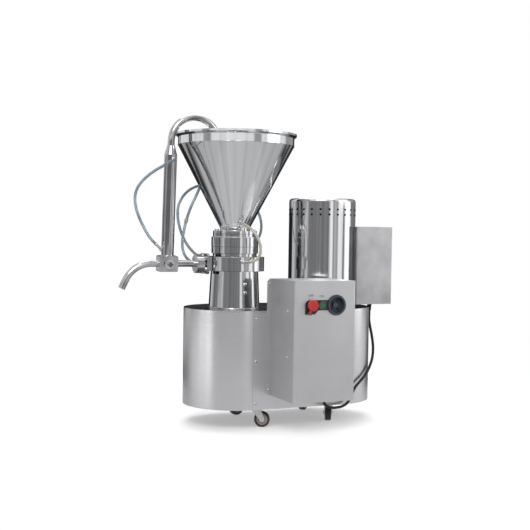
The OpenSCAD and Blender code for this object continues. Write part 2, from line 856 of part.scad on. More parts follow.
// One ring of slanted slots on the grinding cone, cut to a depth on both sides of its surface
module slots(count, w, depth, length, gap) {
    mid_z = (rotor_z + rotor_top) / 2;
    mid_r = (rotor_foot_r + rotor_top_r) / 2 + gap;
    for (i = [0 : count - 1])
        rotate([0, 0, i * 360 / count]) translate([mid_r, 0, mid_z]) rotate([0, -rotor_slope, 0])
            rotate([slot_slant, 0, 0]) translate([0, 0, length / 2])
                cube([2 * depth, w, 2 * (rotor_top - rotor_z) - length], center = true);
}

module rotor() color([0.82, 0.82, 0.84]) {
    vane_h = 6;
    vane_t = 4;
    at_mill() {
        difference() {
            rotate_extrude()
                polygon([[rotor_seat_r + seat, rotor_z - rotor_hub], [rotor_hub_r, rotor_z - rotor_hub],
                    [rotor_hub_r, rotor_z], [rotor_foot_r, rotor_z], [rotor_top_r, rotor_top],
                    [rotor_seat_r + seat, rotor_top]]);
            slots(fine_slots, fine_slot_w, fine_deep, 0, 0);
            slots(coarse_slots, coarse_slot_w, coarse_deep, rotor_top - rotor_z, 0);
        }
        for (i = [0 : vane_count - 1])
            rotate([0, 0, i * 360 / vane_count])
                translate([rotor_hub_r - cut, -vane_t / 2, rotor_z - vane_h])
                    cube([rotor_foot_r - rotor_hub_r - coarse_deep, vane_t, vane_h + cut]);
    }
}

module stator() color([0.82, 0.82, 0.84]) {
    at_mill() difference() {
        rotate_extrude()
            polygon([[rotor_foot_r + grind_gap, rotor_z], [stator_r, rotor_z], [stator_r, stator_top],
                [feed_r, stator_top], [rotor_top_r + grind_gap, rotor_top]]);
        slots(fine_slots, fine_slot_w, fine_deep, 0, grind_gap);
        slots(coarse_slots, coarse_slot_w, coarse_deep, rotor_top - rotor_z, grind_gap);
    }
}

module rotor_nut() color([0.78, 0.78, 0.8]) {
    at_mill() translate([0, 0, rotor_top]) difference() {
        union() {
            cylinder(r = nut_r, h = nut_h, $fn = 6);
            translate([0, 0, nut_h]) cylinder(r1 = nut_r * 0.8, r2 = nut_r * 0.4, h = nut_h / 2);
        }
        translate([0, 0, -cut]) cylinder(r = rotor_seat_r + seat, h = nut_h - 2 + seat + cut);
    }
}

module hopper() color([0.8, 0.81, 0.83]) {
    lip_r = rim_r + lip_out;
    difference() {
        at_mill() difference() {
            rotate_extrude()
                polygon([[throat_r, hopper_z], [flange_r, hopper_z], [flange_r, hopper_z + flange_t],
                    [hopper_neck_r, hopper_z + flange_t], [hopper_neck_r, cone_z], [rim_r, band_z],
                    [rim_r, lip_z], [lip_r, lip_z + lip_h / 2], [lip_r, lip_z + lip_h],
                    [lip_r - hopper_wall, lip_z + lip_h], [lip_r - hopper_wall, lip_z + lip_h / 2 + 1],
                    [rim_r - hopper_wall, lip_z + 1], [rim_r - hopper_wall, band_z], [throat_r, cone_z]]);
            flange_bolt_holes();
        }
        nipple_holes();
    }
}

// Motor

module motor_shaft() color([0.75, 0.75, 0.77]) {
    at_motor() translate([0, 0, pulley_z])
        cylinder(r = pulley_bore_r, h = deck_z + motor_body_h - pulley_z);
}

module motor_body() color([0.3, 0.36, 0.4]) {
    at_motor() difference() {
        union() {
            translate([0, 0, skirt_top]) cylinder(r = motor_pilot_r, h = top_plate_t);
            translate([0, 0, deck_z]) {
                cylinder(r = motor_flange_r, h = motor_flange_t);
                cylinder(r = motor_r, h = motor_body_h);
                translate([0, 0, motor_body_h])
                    rotate_extrude() rounded_cap(fin_r, cowl_h, cowl_h / 4);
                for (i = [0 : fin_count - 1])
                    rotate([0, 0, (i + 0.5) * 360 / fin_count])
                        translate([motor_r - 2, -fin_t / 2, motor_flange_t + (motor_body_h - fin_h) / 2])
                            cube([fin_r - motor_r + 2, fin_t, fin_h]);
            }
        }
        translate([0, 0, skirt_top - cut])
            cylinder(r = pulley_bore_r + running, h = top_plate_t + motor_body_h + cut + seat);
    }
}

module motor_cover() color([0.8, 0.81, 0.83]) {
    inner_h = cover_h - cover_sheet;
    at_motor() translate([0, 0, deck_z]) difference() {
        rotate_extrude() rounded_cap(cover_r, cover_h, cover_fillet);
        translate([0, 0, -cut])
            rotate_extrude() rounded_cap(cover_r - cover_sheet, inner_h + cut, cover_fillet - cover_sheet);
        for (row = [0, 1]) for (i = [0 : vent_count - 1])
            rotate([0, 0, i * 360 / vent_count])
                translate([cover_r - 2 * cover_sheet, 0, cover_h - vent_drop - row * vent_pitch])
                    rotate([0, 90, 0]) cylinder(r = vent_r, h = 4 * cover_sheet);
    }
}

module terminal_box() color([0.68, 0.69, 0.71]) {
    w = terminal_sheet;
    difference() {
        translate([terminal_x, -terminal_front, terminal_z])
            linear_extrude(terminal_h) folded(terminal_w, terminal_d, fold_r);
        translate([terminal_x + w, w - terminal_front, terminal_z + w])
            linear_extrude(terminal_h - 2 * w)
                folded(terminal_w - 2 * w, terminal_d - 2 * w, fold_r - w / 2);
        at_motor() translate([0, 0, deck_z]) cylinder(r = cover_r + seat, h = cover_h + cut);
        translate([power_cable_route[0][0], power_cable_route[0][1], terminal_z - cut])
            cylinder(r = gland_r + seat, h = w + 2 * cut);
    }
}

// A gland: a hexagon against a floor, a rounded dome nut under it, and a spigot through the floor
module gland(tip, floor_z, sheet) {
    drop = floor_z - tip[2];
    hex_h = drop * 0.36;
    translate([tip[0], tip[1], floor_z - hex_h]) cylinder(r = cable_d, h = hex_h, $fn = 6);
    translate(tip) cylinder(r1 = cable_d / 2 + 1.5, r2 = cable_d * 0.8, h = drop - hex_h);
    translate([tip[0], tip[1], floor_z]) cylinder(r = gland_r, h = 3 * sheet);
}

module cable_glands() color([0.1, 0.1, 0.1]) {
    last = len(power_cable_route) - 1;
    gland(power_cable_route[0], terminal_z, terminal_sheet);
    gland(power_cable_route[last], control_z, control_sheet);
}

// Discharge

module outlet_flange() color([0.78, 0.79, 0.81]) {
    along_outlet(flange_x) difference() {
        union() {
            linear_extrude(outlet_t) chamfered(outlet_side, outlet_side, 2 * block_chamfer);
            cylinder(r = ferrule_r, h = outlet_t + ferrule_len);
        }
        translate([0, 0, -cut]) cylinder(r = pipe_bore_r, h = outlet_t + 2 * cut);
        translate([0, 0, outlet_t]) cylinder(r = pipe_r + seat, h = outlet_t);
        for (sy = [-1, 1]) for (sz = [-1, 1])
            translate([sz * outlet_bolt_z, sy * outlet_bolt, -cut])
                cylinder(r = bolt_r + seat, h = outlet_t + 2 * cut);
    }
}

module union_nut() color([0.78, 0.79, 0.81]) {
    notch = 8;
    along_outlet(flange_x - outlet_t - ferrule_len - air) difference() {
        tube(union_r, pipe_r + seat, union_len);
        for (i = [0 : 5])
            rotate([0, 0, 30 + i * 60]) translate([union_r - notch / 3, -notch / 2, union_len / 4])
                cube([notch, notch, union_len]);
    }
}

module discharge_pipe() color([0.78, 0.79, 0.81]) {
    along_outlet(flange_x - outlet_t)
        tube(pipe_r, pipe_bore_r, flange_x - outlet_t - valve_x - valve_w / 2 + pipe_seat);
}

module valve_body() color([0.76, 0.77, 0.79]) {
    at_valve() difference() {
        union() {
            rotate([90, 0, 0]) translate([0, 0, -valve_d / 2])
                linear_extrude(valve_d) chamfered(valve_w, valve_h, block_chamfer);
            rotate([90, 0, 0]) cylinder(r = plug_boss_r, h = valve_d / 2 + plug_boss_t);
        }
        rotate([90, 0, 0]) translate([0, 0, -valve_d])
            cylinder(r = plug_r + running, h = 2 * valve_d);
        for (turn = [-90, 0, 90])
            rotate([0, turn, 0]) {
                cylinder(r = pipe_bore_r, h = valve_w);
                translate([0, 0, (turn == 0 ? valve_h : valve_w) / 2 - pipe_seat])
                    cylinder(r = pipe_r + seat, h = valve_w);
            }
    }
}

module valve_plug() color([0.7, 0.71, 0.73]) {
    at_valve() difference() {
        rotate([90, 0, 0]) translate([0, 0, -valve_d / 2]) {
            cylinder(r = plug_r, h = valve_d + plug_boss_t);
            translate([0, 0, valve_d + plug_boss_t + shank_out / 2]) rotate([0, 0, 45])
                cube([shank_side, shank_side, shank_out], center = true);
        }
        for (turn = [-90, 90, 180])
            rotate([0, turn, 0]) cylinder(r = pipe_bore_r, h = plug_r + cut);
    }
}

module spout() color([0.78, 0.79, 0.81]) {
    at_valve() translate([-valve_w / 2 + pipe_seat, 0, 0]) rotate([0, -90, 0]) difference() {
        union() {
            spout_rod(pipe_r, 0);
            spout_weld();
        }
        spout_rod(pipe_bore_r, cut);
    }
}

// The spout's bent rod, with +Z along its lead and its tip bent towards -X
module spout_rod(r, past) {
    lead = spout_lead + pipe_seat;
    translate([0, 0, -past]) cylinder(r = r, h = lead + past);
    translate([-spout_bend, 0, lead]) rotate([90, 0, 0])
        rotate_extrude(angle = spout_turn) translate([spout_bend, 0]) circle(r = r);
    translate([-spout_bend, 0, lead]) rotate([0, -spout_turn, 0]) translate([spout_bend, 0, 0])
        cylinder(r = r, h = spout_tip + past);
}

// The weld bead between the spout's bend and its tip
module spout_weld() {
    bead = 3;
    translate([-spout_bend, 0, spout_lead + pipe_seat]) rotate([0, -spout_turn, 0])
        translate([spout_bend, 0, -bead / 2]) cylinder(r = pipe_r + weld_rise, h = bead);
}

module pipe_jacket() color([0.8, 0.81, 0.83]) {
    foot = valve_h / 2;
    top = foot + jacket_len;
    difference() {
        at_valve() rotate_extrude()
            polygon([[pipe_r + seat, foot], [jacket_r, foot], [jacket_r, top],
                [pipe_r + 1, top + jacket_cone],
                [pipe_r + seat, top + jacket_cone], [pipe_r + seat, top + jacket_cone - jacket_wall],
                [jacket_r - jacket_wall, top - jacket_wall], [jacket_r - jacket_wall, foot + jacket_wall],
                [pipe_r + seat, foot + jacket_wall]]);
        nipple_holes();
    }
}

module return_pipe() color([0.78, 0.79, 0.81]) {
    at_valve() difference() {
        return_rod(pipe_r, 0);
        return_rod(pipe_bore_r, cut);
    }
}

module return_rod(r, past) {
    foot = valve_h / 2 - pipe_seat;
    translate([0, 0, foot - past]) cylinder(r = r, h = return_rise - foot + past);
    translate([return_bend, 0, return_rise]) rotate([90, 0, 0])
        rotate_extrude(angle = 180) translate([return_bend, 0]) circle(r = r);
    translate([2 * return_bend, 0, return_rise - return_drop - past])
        cylinder(r = r, h = return_drop + past);
}

// Hose nipples: each starts at the end of a hose and runs on into the wall that carries it

function first(p) = p[0];
function last(p) = p[len(p) - 1];
function into_first(p) = unit(p[0] - p[1]);
function into_last(p) = unit(p[len(p) - 1] - p[len(p) - 2]);
function ring_reach(p, d) = reach(p, d, mill_x, 0, ring_r) + nipple_depth;

elbow_tip = first(hose_front_route) - [elbow_back, 0, 0];
NIPPLES = [
    [first(hose_jacket_route), into_first(hose_jacket_route),
        reach(first(hose_jacket_route), into_first(hose_jacket_route), valve_x,
            jacket_y(first(hose_jacket_route)[2]), jacket_r) + nipple_depth],
    [last(hose_jacket_route), into_last(hose_jacket_route),
        reach(last(hose_jacket_route), into_last(hose_jacket_route), valve_x,
            jacket_y(last(hose_jacket_route)[2]), jacket_r) + nipple_depth],
    [first(hose_back_route), into_first(hose_back_route),
        ring_reach(first(hose_back_route), into_first(hose_back_route))],
    [last(hose_back_route), into_last(hose_back_route),
        reach(last(hose_back_route), into_last(hose_back_route), mill_x, 0, housing_r) + nipple_depth],
    [first(hose_left_route), into_first(hose_left_route),
        ring_reach(first(hose_left_route), into_first(hose_left_route))],
    [last(hose_left_route), into_last(hose_left_route),
        cone_height(norm([last(hose_left_route)[0] - mill_x, last(hose_left_route)[1]]))
            - last(hose_left_route)[2] + 2 * nipple_depth],
    [last(hose_front_route), into_last(hose_front_route),
        reach(last(hose_front_route), into_last(hose_front_route), mill_x, 0,
            cone_radius(last(hose_front_route)[2])) + nipple_depth],
    [elbow_tip, [0, 1, 0], ring_reach(elbow_tip, [0, 1, 0])]
];

module nipple_holes() {
    for (n = NIPPLES)
        along(n[0], n[1]) cylinder(r = nipple_r + seat, h = n[2] + seat);
}

module hose_nipples() color([0.75, 0.75, 0.76]) {
    for (n = NIPPLES)
        along(n[0], n[1]) cylinder(r = nipple_r, h = n[2]);
    translate(elbow_tip) sphere(r = nipple_r);
    along(first(hose_front_route), [-1, 0, 0]) cylinder(r = nipple_r, h = elbow_back);
}

module hose(route) color([0.75, 0.82, 0.86]) cord(route, hose_d);

module power_cable() color([0.06, 0.06, 0.06]) cord(power_cable_route, cable_d);

// Control box

module control_back() color([0.66, 0.67, 0.69]) {
    corner = 8;
    translate([control_x, front_y, control_z + control_h / 2]) rotate([90, 0, 0]) linear_extrude(back_t)
        chamfered(control_w + 2 * back_lip, control_h, corner);
}

module control_box() color([0.68, 0.69, 0.71]) {
    w = control_sheet;
    difference() {
        translate([box_left, box_front_y, control_z])
            linear_extrude(control_h) folded(control_w, control_d, fold_r);
        translate([box_left + w, box_front_y + w, control_z + w])
            linear_extrude(control_h - 2 * w) folded(control_w - 2 * w, control_d, fold_r - w / 2);
        at_switches() translate([0, 0, -2 * w]) {
            translate([socket_u, 0, 0]) cylinder(r = socket_barrel_r + seat, h = 4 * w);
            translate([start_u, 0, 0]) cylinder(r = start_r + 1, h = 4 * w);
        }
        translate([last(power_cable_route)[0], last(power_cable_route)[1], control_z - cut])
            cylinder(r = gland_r + seat, h = w + 2 * cut);
    }
}

module switch_outline() {
    polygon([[plate_left, plate_low], [plate_left + plate_tail, plate_low],
        [plate_left + plate_tail + plate_chamfer, plate_step], [socket_u, plate_step],
        [socket_u, plate_high], [plate_left + plate_corner, plate_high],
        [plate_left, plate_high - plate_corner]]);
    translate([plate_left + plate_corner, plate_high - plate_corner]) circle(r = plate_corner);
    translate([socket_u, 0]) circle(r = socket_r + 1.5);
}

module switch_plate() color([0.05, 0.05, 0.06]) {
    at_switches() {
        difference() {
            union() {
                linear_extrude(switch_t) switch_outline();
                translate([start_u, 0, 0]) cylinder(r = bezel_r, h = switch_t + bezel_h);
            }
            translate([start_u, 0, -cut]) cylinder(r = start_r + running, h = switch_t + bezel_h + 2 * cut);
            translate([socket_u, 0, -cut]) cylinder(r = socket_barrel_r + seat, h = switch_t + 2 * cut);
        }
        translate([0, 0, switch_t]) at_hinge() {
            for (side = [-1, 1])
                translate([side * (knuckle_w + ear_t + 2 * air) / 2, 0, (hinge_h + knuckle_r) / 2])
                    cube([ear_t, 2 * knuckle_r, hinge_h + knuckle_r], center = true);
            translate([-knuckle_w / 2 - ear_t, 0, hinge_h]) rotate([0, 90, 0])
                cylinder(r = hinge_pin_r, h = knuckle_w + 2 * ear_t);
        }
    }
}

module power_socket() color([0.12, 0.14, 0.18]) {
    rim = 5;
    barrel = socket_depth + 6;
    at_switches(switch_t) translate([socket_u, 0, 0]) rotate_extrude()
        polygon([[0, -barrel], [socket_barrel_r, -barrel], [socket_barrel_r, 0], [socket_r, 0],
            [socket_r, socket_lip], [socket_r - rim, socket_lip],
            [socket_r - rim - 1, socket_lip - socket_depth],
            [socket_post_r, socket_lip - socket_depth], [socket_post_r, socket_lip - socket_depth * 0.6],
            [0, socket_lip - socket_depth * 0.6]]);
}

module stop_paddle() color([0.8, 0.12, 0.1]) {
    at_switches(switch_t) at_hinge() difference() {
        union() {
            translate([0, hinge_reach, paddle_low]) rotate_extrude() rounded_cap(paddle_r, paddle_t, 2);
            translate([-tail_w / 2, 0, paddle_low])
                cube([tail_w, hinge_reach, tail_t - paddle_low + hinge_h]);
            translate([-knuckle_w / 2, 0, hinge_h]) rotate([0, 90, 0])
                cylinder(r = knuckle_r, h = knuckle_w);
        }
        translate([-knuckle_w, 0, hinge_h]) rotate([0, 90, 0])
            cylinder(r = hinge_pin_r + running, h = 2 * knuckle_w);
    }
}

module start_button() color([0.05, 0.45, 0.2]) {
    at_switches(switch_t) translate([start_u, 0, -switch_t - start_travel]) rotate_extrude()
        rounded_cap(start_r, switch_t + 2 * start_travel + bezel_h + 1, 1.5);
}

base_plate();
frame_posts();
top_plate();
end_panel(-1);  // left_end_panel
end_panel(1);  // right_end_panel
long_panel(front_y);  // front_panel
long_panel(base_r - skirt_sheet);  // rear_panel
fasteners();
caster_plates();
fork(0);  // fork_front_left
fork(1);  // fork_front_right
fork(2);  // fork_rear_left
fork(3);  // fork_rear_right
hub(0);  // hub_front_left
hub(1);  // hub_front_right
hub(2);  // hub_rear_left
hub(3);  // hub_rear_right
tyre(0);  // tyre_front_left
tyre(1);  // tyre_front_right
tyre(2);  // tyre_rear_left
tyre(3);  // tyre_rear_right
pedestal();
spindle_bearings();
shaft_seal();
spindle();
mill_pulley();
drive_belts();
motor_pulley();
motor_shaft();
motor_body();
motor_cover();
terminal_box();
cable_glands();
discharge_ring();
stator_housing();
adjusting_ring();
stator();
rotor();
rotor_nut();
hopper();
outlet_flange();
union_nut();
discharge_pipe();
valve_body();
valve_plug();
spout();
pipe_jacket();
return_pipe();
hose_nipples();
hose(hose_jacket_route);  // hose_jacket
hose(hose_back_route);  // hose_back
hose(hose_left_route);  // hose_left
hose(hose_front_route);  // hose_front
control_back();
control_box();
switch_plate();
power_socket();
stop_paddle();
start_button();
power_cable();
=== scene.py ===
# %% [markdown]
# Dressing a colloid mill
#
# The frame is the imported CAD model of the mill: every plate, pipe and wheel is already in its
# place. This lesson gives each of them a finish and adds what is too small or too soft for CAD,
# such as hoses, weld beads, screw slots and lettering. Blender works in metres; places taken from
# the CAD model are written in millimetres and divided by MM_PER_M.

# %% Load the frame
import math

import bpy
from mathutils import Matrix, Vector


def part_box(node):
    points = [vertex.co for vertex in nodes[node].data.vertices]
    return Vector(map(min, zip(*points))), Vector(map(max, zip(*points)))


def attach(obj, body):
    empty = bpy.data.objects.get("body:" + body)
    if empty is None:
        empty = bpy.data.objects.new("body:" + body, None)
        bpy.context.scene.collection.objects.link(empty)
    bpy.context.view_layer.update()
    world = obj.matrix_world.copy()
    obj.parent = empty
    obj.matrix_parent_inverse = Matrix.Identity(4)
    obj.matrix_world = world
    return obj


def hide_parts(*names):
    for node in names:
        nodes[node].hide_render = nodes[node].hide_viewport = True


MM_PER_M = 1000
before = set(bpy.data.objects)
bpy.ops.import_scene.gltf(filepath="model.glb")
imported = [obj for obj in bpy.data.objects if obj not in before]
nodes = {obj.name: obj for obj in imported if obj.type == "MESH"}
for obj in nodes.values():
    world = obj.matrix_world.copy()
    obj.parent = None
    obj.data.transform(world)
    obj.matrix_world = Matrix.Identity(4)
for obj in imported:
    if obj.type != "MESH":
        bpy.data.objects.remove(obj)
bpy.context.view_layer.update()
scene = bpy.context.scene
scene.view_settings.view_transform = "Standard"

# %% [markdown]
# The camera
#
# A camera could be placed by eye, but then no edge would fall where the photograph has it. This
# one was solved from known edges: the turn, the tilt and the small roll are three rotations, and
# the focal length comes from how strongly the upright edges converge.

# %% Camera
CAMERA_PLACE = (-1.371551, -2.970903, 0.623218)
CAMERA_YAW, CAMERA_PITCH, CAMERA_ROLL = 0.41839, 0.03285, 0.01522
SENSOR_WIDTH, FOCAL_LENGTH = 36.0, 66.393
bpy.ops.object.camera_add()
camera = bpy.context.object
camera.name = "photo_camera"
camera.matrix_world = (
    Matrix.Translation(CAMERA_PLACE)
    @ Matrix.Rotation(-CAMERA_YAW, 4, "Z")
    @ Matrix.Rotation(math.pi / 2 - CAMERA_PITCH, 4, "X")
    @ Matrix.Rotation(CAMERA_ROLL, 4, "Z"))
camera.data.sensor_width = SENSOR_WIDTH
camera.data.lens = FOCAL_LENGTH
scene.camera = camera
print("camera at", [round(v, 3) for v in camera.location])

# %% [markdown]
# Water hoses and the power cable
#
# Each hose is a fixed length of clear tube between two nipples. A mesh tube could be swept by
# hand, but a Bezier curve with a round bevel stays smooth with few points, and its own line is
# the hose's centre line. The points are those of the CAD route, in millimetres.

# %% Routes of the cords
CORD_D = 0.009
ROUTES = {
    "hose_jacket": [
        (-392, -62, 848), (-394, -75, 847), (-401, -86, 845), (-411, -94, 841), (-424, -98, 834),
        (-440, -97, 824), (-461, -92, 811), (-484, -85, 793), (-504, -77, 771), (-515, -68, 749),
        (-517, -58, 724), (-511, -48, 698), (-499, -38, 670), (-481, -28, 639), (-462, -20, 611),
        (-443, -12, 591), (-430, -8, 580)],
    "hose_back": [
        (-256, 70, 540), (-264, 76, 546), (-280, 84, 562), (-295, 91, 583), (-308, 98, 611),
        (-317, 105, 643), (-320, 112, 676), (-316, 120, 705), (-303, 128, 731), (-283, 136, 754),
        (-260, 144, 769), (-230, 152, 780), (-195, 158, 785), (-160, 160, 784), (-125, 157, 777),
        (-92, 151, 764), (-62, 142, 744), (-38, 130, 717), (-24, 118, 688), (-20, 107, 657),
        (-26, 95, 628), (-42, 82, 603), (-62, 69, 591), (-72, 62, 589)],
    "hose_left": [
        (-266, 50, 522), (-276, 55, 522), (-290, 61, 526), (-303, 66, 537), (-312, 71, 555),
        (-315, 76, 578), (-312, 81, 605), (-305, 87, 634), (-297, 92, 660), (-287, 97, 686),
        (-275, 102, 712), (-262, 106, 736), (-252, 109, 755), (-245, 111, 771), (-242, 112, 782),
        (-242, 112, 792)],
    "hose_front": [
        (-160, -112, 530), (-152, -112, 530), (-141, -112, 532), (-130, -113, 538),
        (-122, -114, 548), (-118, -115, 561), (-118, -115, 576), (-121, -114, 591),
        (-126, -111, 606), (-133, -107, 620), (-142, -101, 632), (-151, -93, 641),
        (-158, -84, 647), (-162, -75, 651), (-164, -69, 653)],
    "power_cable": [
        (328, -40, 362), (328, -40, 350), (328, -40, 330), (330, -45, 305), (332, -52, 280),
        (331, -62, 255), (325, -76, 230), (312, -94, 205), (296, -111, 187), (276, -130, 170),
        (251, -149, 153), (226, -164, 138), (204, -173, 122), (190, -178, 104), (180, -181, 86),
        (165, -185, 71), (145, -190, 64), (125, -196, 63), (106, -201, 64), (86, -204, 70),
        (74, -205, 80), (68, -205, 94), (68, -205, 102)],
}
print("points:", {name: len(points) for name, points in ROUTES.items()})


# %% A cord from its route
CORD_ROUNDNESS, CORD_STEPS = 5, 5


def lay_cord(node):
    """A bevelled curve along a route, in place of the CAD cord."""
    points = [Vector(p) / MM_PER_M for p in ROUTES[node]]
    line = bpy.data.curves.new(node + "_tube", "CURVE")
    line.dimensions = "3D"
    line.bevel_depth = 1.0  # scaled by the radius of each knot
    line.bevel_resolution = CORD_ROUNDNESS
    line.resolution_u = CORD_STEPS
    line.use_fill_caps = True
    spline = line.splines.new("BEZIER")
    spline.bezier_points.add(len(points) - 1)
    for knot, point in zip(spline.bezier_points, points):
        knot.co = point
        knot.radius = CORD_D / 2
        knot.handle_left_type = knot.handle_right_type = "AUTO"
    cord = bpy.data.objects.new(node + "_tube", line)
    scene.collection.objects.link(cord)
    bpy.context.view_layer.update()
    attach(cord, "base")
    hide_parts(node)
    return cord


cords = {node: lay_cord(node) for node in ROUTES}

# %% [markdown]
# White ground and floor
#
# The photograph has a plain white ground. A world that is white only for camera, glossy and
# transmission rays gives that without adding light to the object. The floor is a pale disc that
# fades out with distance, so it keeps the shadow and shows no edge.

# %% White ground
AMBIENT = 0.45


def shader(tree, kind, **values):
    """A node with some of its sockets set."""
    made = tree.nodes.new(kind)
    for socket, value in values.items():
        made.inputs[socket.replace("_", " ")].default_value = value
    return made


def working(tree, kind, operation):
    """A math node that does one operation."""
    made = tree.nodes.new(kind)
    made.operation = operation
    return made


def wire(tree, *pairs):
    """Links outputs to inputs, pair by pair."""
    for output, socket in pairs:
        tree.links.new(output, socket)


world = bpy.data.worlds.new("studio")
scene.world = world
world.use_nodes = True
tree = world.node_tree
tree.nodes.clear()
path = tree.nodes.new("ShaderNodeLightPath")
seen = working(tree, "ShaderNodeMath", "MAXIMUM")
seen_all = working(tree, "ShaderNodeMath", "MAXIMUM")
ambient = shader(tree, "ShaderNodeBackground", Color=(0.98, 0.99, 1.0, 1), Strength=AMBIENT)
white = shader(tree, "ShaderNodeBackground", Color=(1, 1, 1, 1), Strength=1.0)
choose = tree.nodes.new("ShaderNodeMixShader")
sky = tree.nodes.new("ShaderNodeOutputWorld")
wire(tree, (path.outputs["Is Camera Ray"], seen.inputs[0]),
     (path.outputs["Is Glossy Ray"], seen.inputs[1]), (seen.outputs[0], seen_all.inputs[0]),
     (path.outputs["Is Transmission Ray"], seen_all.inputs[1]),
     (seen_all.outputs[0], choose.inputs[0]), (ambient.outputs[0], choose.inputs[1]),
     (white.outputs[0], choose.inputs[2]), (choose.outputs[0], sky.inputs["Surface"]))
print("world:", world.name)

# %% Floor
FLOOR_R, ROUND_SIDES = 3.0, 96
FADE_START, FADE_END = 0.7, 1.6
FLOOR_GREY, FLOOR_LIFT = 0.86, 0.35
bpy.ops.object.select_all(action="DESELECT")
bpy.ops.mesh.primitive_circle_add(vertices=ROUND_SIDES, radius=FLOOR_R, fill_type="NGON")
floor = bpy.context.object
floor.name = "studio_floor"
pale = bpy.data.materials.new("pale_floor")
pale.use_nodes = True
tree = pale.node_tree
tree.nodes.clear()
where = tree.nodes.new("ShaderNodeTexCoord")
reach = working(tree, "ShaderNodeVectorMath", "LENGTH")
fade = shader(tree, "ShaderNodeMapRange", From_Min=FADE_START, From_Max=FADE_END)
fade.interpolation_type = "SMOOTHSTEP"
matt = shader(tree, "ShaderNodeBsdfDiffuse", Color=(FLOOR_GREY, FLOOR_GREY, FLOOR_GREY, 1))
glow = shader(tree, "ShaderNodeEmission", Color=(1, 1, 1, 1))
lift = working(tree, "ShaderNodeMath", "MULTIPLY")
lift.inputs[1].default_value = FLOOR_LIFT
path = tree.nodes.new("ShaderNodeLightPath")
both = tree.nodes.new("ShaderNodeAddShader")
clear = tree.nodes.new("ShaderNodeBsdfTransparent")
blend = tree.nodes.new("ShaderNodeMixShader")
out = tree.nodes.new("ShaderNodeOutputMaterial")
wire(tree, (where.outputs["Object"], reach.inputs[0]),
     (reach.outputs["Value"], fade.inputs["Value"]),
     (path.outputs["Is Camera Ray"], lift.inputs[0]), (lift.outputs[0], glow.inputs["Strength"]),
     (matt.outputs[0], both.inputs[0]), (glow.outputs[0], both.inputs[1]),
     (fade.outputs[0], blend.inputs[0]), (both.outputs[0], blend.inputs[1]),
     (clear.outputs[0], blend.inputs[2]), (blend.outputs[0], out.inputs["Surface"]))
floor.data.materials.append(pale)
floor.visible_glossy = False
print("floor radius", FLOOR_R, "and it shows no reflection itself")

# %% [markdown]
# Paper walls for the reflections
#
# Polished steel looks like steel only if it has light and dark things to mirror. A picture of a
# studio could stand all round, but plain paper is enough: a cone or a cylinder draws the room out
# into upright streaks, so rings of grey paper with paler and darker cards on them give the same
# streaks. Two sheets under the mill do this for whatever leans downwards, such as the hopper.
# Only glossy rays see the paper, so it adds no light and casts no shadow.

# %% Paper that only reflections see
MIDDLE = Vector((-0.08, -0.05, 0.5))
CAMERA_SIDE = math.atan2(camera.location.y, camera.location.x)
PAPER_BLUE = 1.02


def turn_factor(tree):
    """0 to 1 once round the paper's own centre, 0.5 where the camera stands."""
    where = tree.nodes.new("ShaderNodeTexCoord")
    turned = shader(tree, "ShaderNodeMapping", Rotation=(0, 0, -CAMERA_SIDE))
    radial = tree.nodes.new("ShaderNodeTexGradient")
    radial.gradient_type = "RADIAL"
    wire(tree, (where.outputs["Object"], turned.inputs["Vector"]),
         (turned.outputs[0], radial.inputs["Vector"]))
    return radial.outputs["Fac"]


def paper(thing, name, strength, stops):
    """Turns an object into glowing paper for glossy rays only, with grey stops once round it."""
    thing.name = name
    coat = bpy.data.materials.new(name)
    coat.use_nodes = True
    tree = coat.node_tree
    tree.nodes.clear()
    ramp = tree.nodes.new("ShaderNodeValToRGB")
    while len(ramp.color_ramp.elements) < len(stops):
        ramp.color_ramp.elements.new(0.5)
    for element, (place, shade) in zip(ramp.color_ramp.elements, stops):
        element.position = place
        element.color = (shade, shade, shade * PAPER_BLUE, 1)
    glow = shader(tree, "ShaderNodeEmission", Strength=strength)
    out = tree.nodes.new("ShaderNodeOutputMaterial")
    wire(tree, (turn_factor(tree), ramp.inputs[0]), (ramp.outputs[0], glow.inputs["Color"]),
         (glow.outputs[0], out.inputs["Surface"]))
    thing.data.materials.append(coat)
    thing.visible_camera = thing.visible_diffuse = thing.visible_shadow = False
    thing.visible_transmission = False


# %% Cards on a ground
def strips(ground, cards, edge=3):
    """Stops for cards (centre, width, shade) on a ground, in degrees right of the camera."""
    stops = []
    for centre, width, shade in cards:
        low, high = centre - width / 2, centre + width / 2
        stops += [(low - edge, ground), (low, shade), (high, shade), (high + edge, ground)]
    return [(min(max(0.5 + angle / 360, 0.0), 1.0), shade) for angle, shade in stops]


# %% Walls round the mill
WALL_R, PIT, SPLIT, BROW, CEILING = 3.4, -0.25, 0.08, 1.0, 3.2
BACK_LEFT, BACK_RIGHT = (-166, 28, 0.02), (166, 28, 0.02)
HIGH_CARDS = (BACK_LEFT, (-98, 66, 0.48), (-6, 80, 0.5), (82, 60, 0.5), BACK_RIGHT)
UPPER_CARDS = (BACK_LEFT, (-125, 26, 0.35), (-64, 26, 0.33), (33, 8, 0.55), (48.5, 8, 0.3),
               (66, 14, 0.6), (98, 22, 0.8), BACK_RIGHT)
LOWER_CARDS = (BACK_LEFT, (-130, 26, 0.15), (-93, 10, 0.4), (-73, 16, 0.6), (-54, 10, 1.0),
               (56, 20, 0.13), (111, 32, 0.33), (157, 46, 0.02))
WALLS = (("high_wall", BROW, CEILING, 2.0, strips(0.2, HIGH_CARDS)),
         ("upper_wall", SPLIT, BROW, 2.0, strips(0.13, UPPER_CARDS)),
         ("lower_wall", PIT, SPLIT, 2.8, strips(0.23, LOWER_CARDS)))
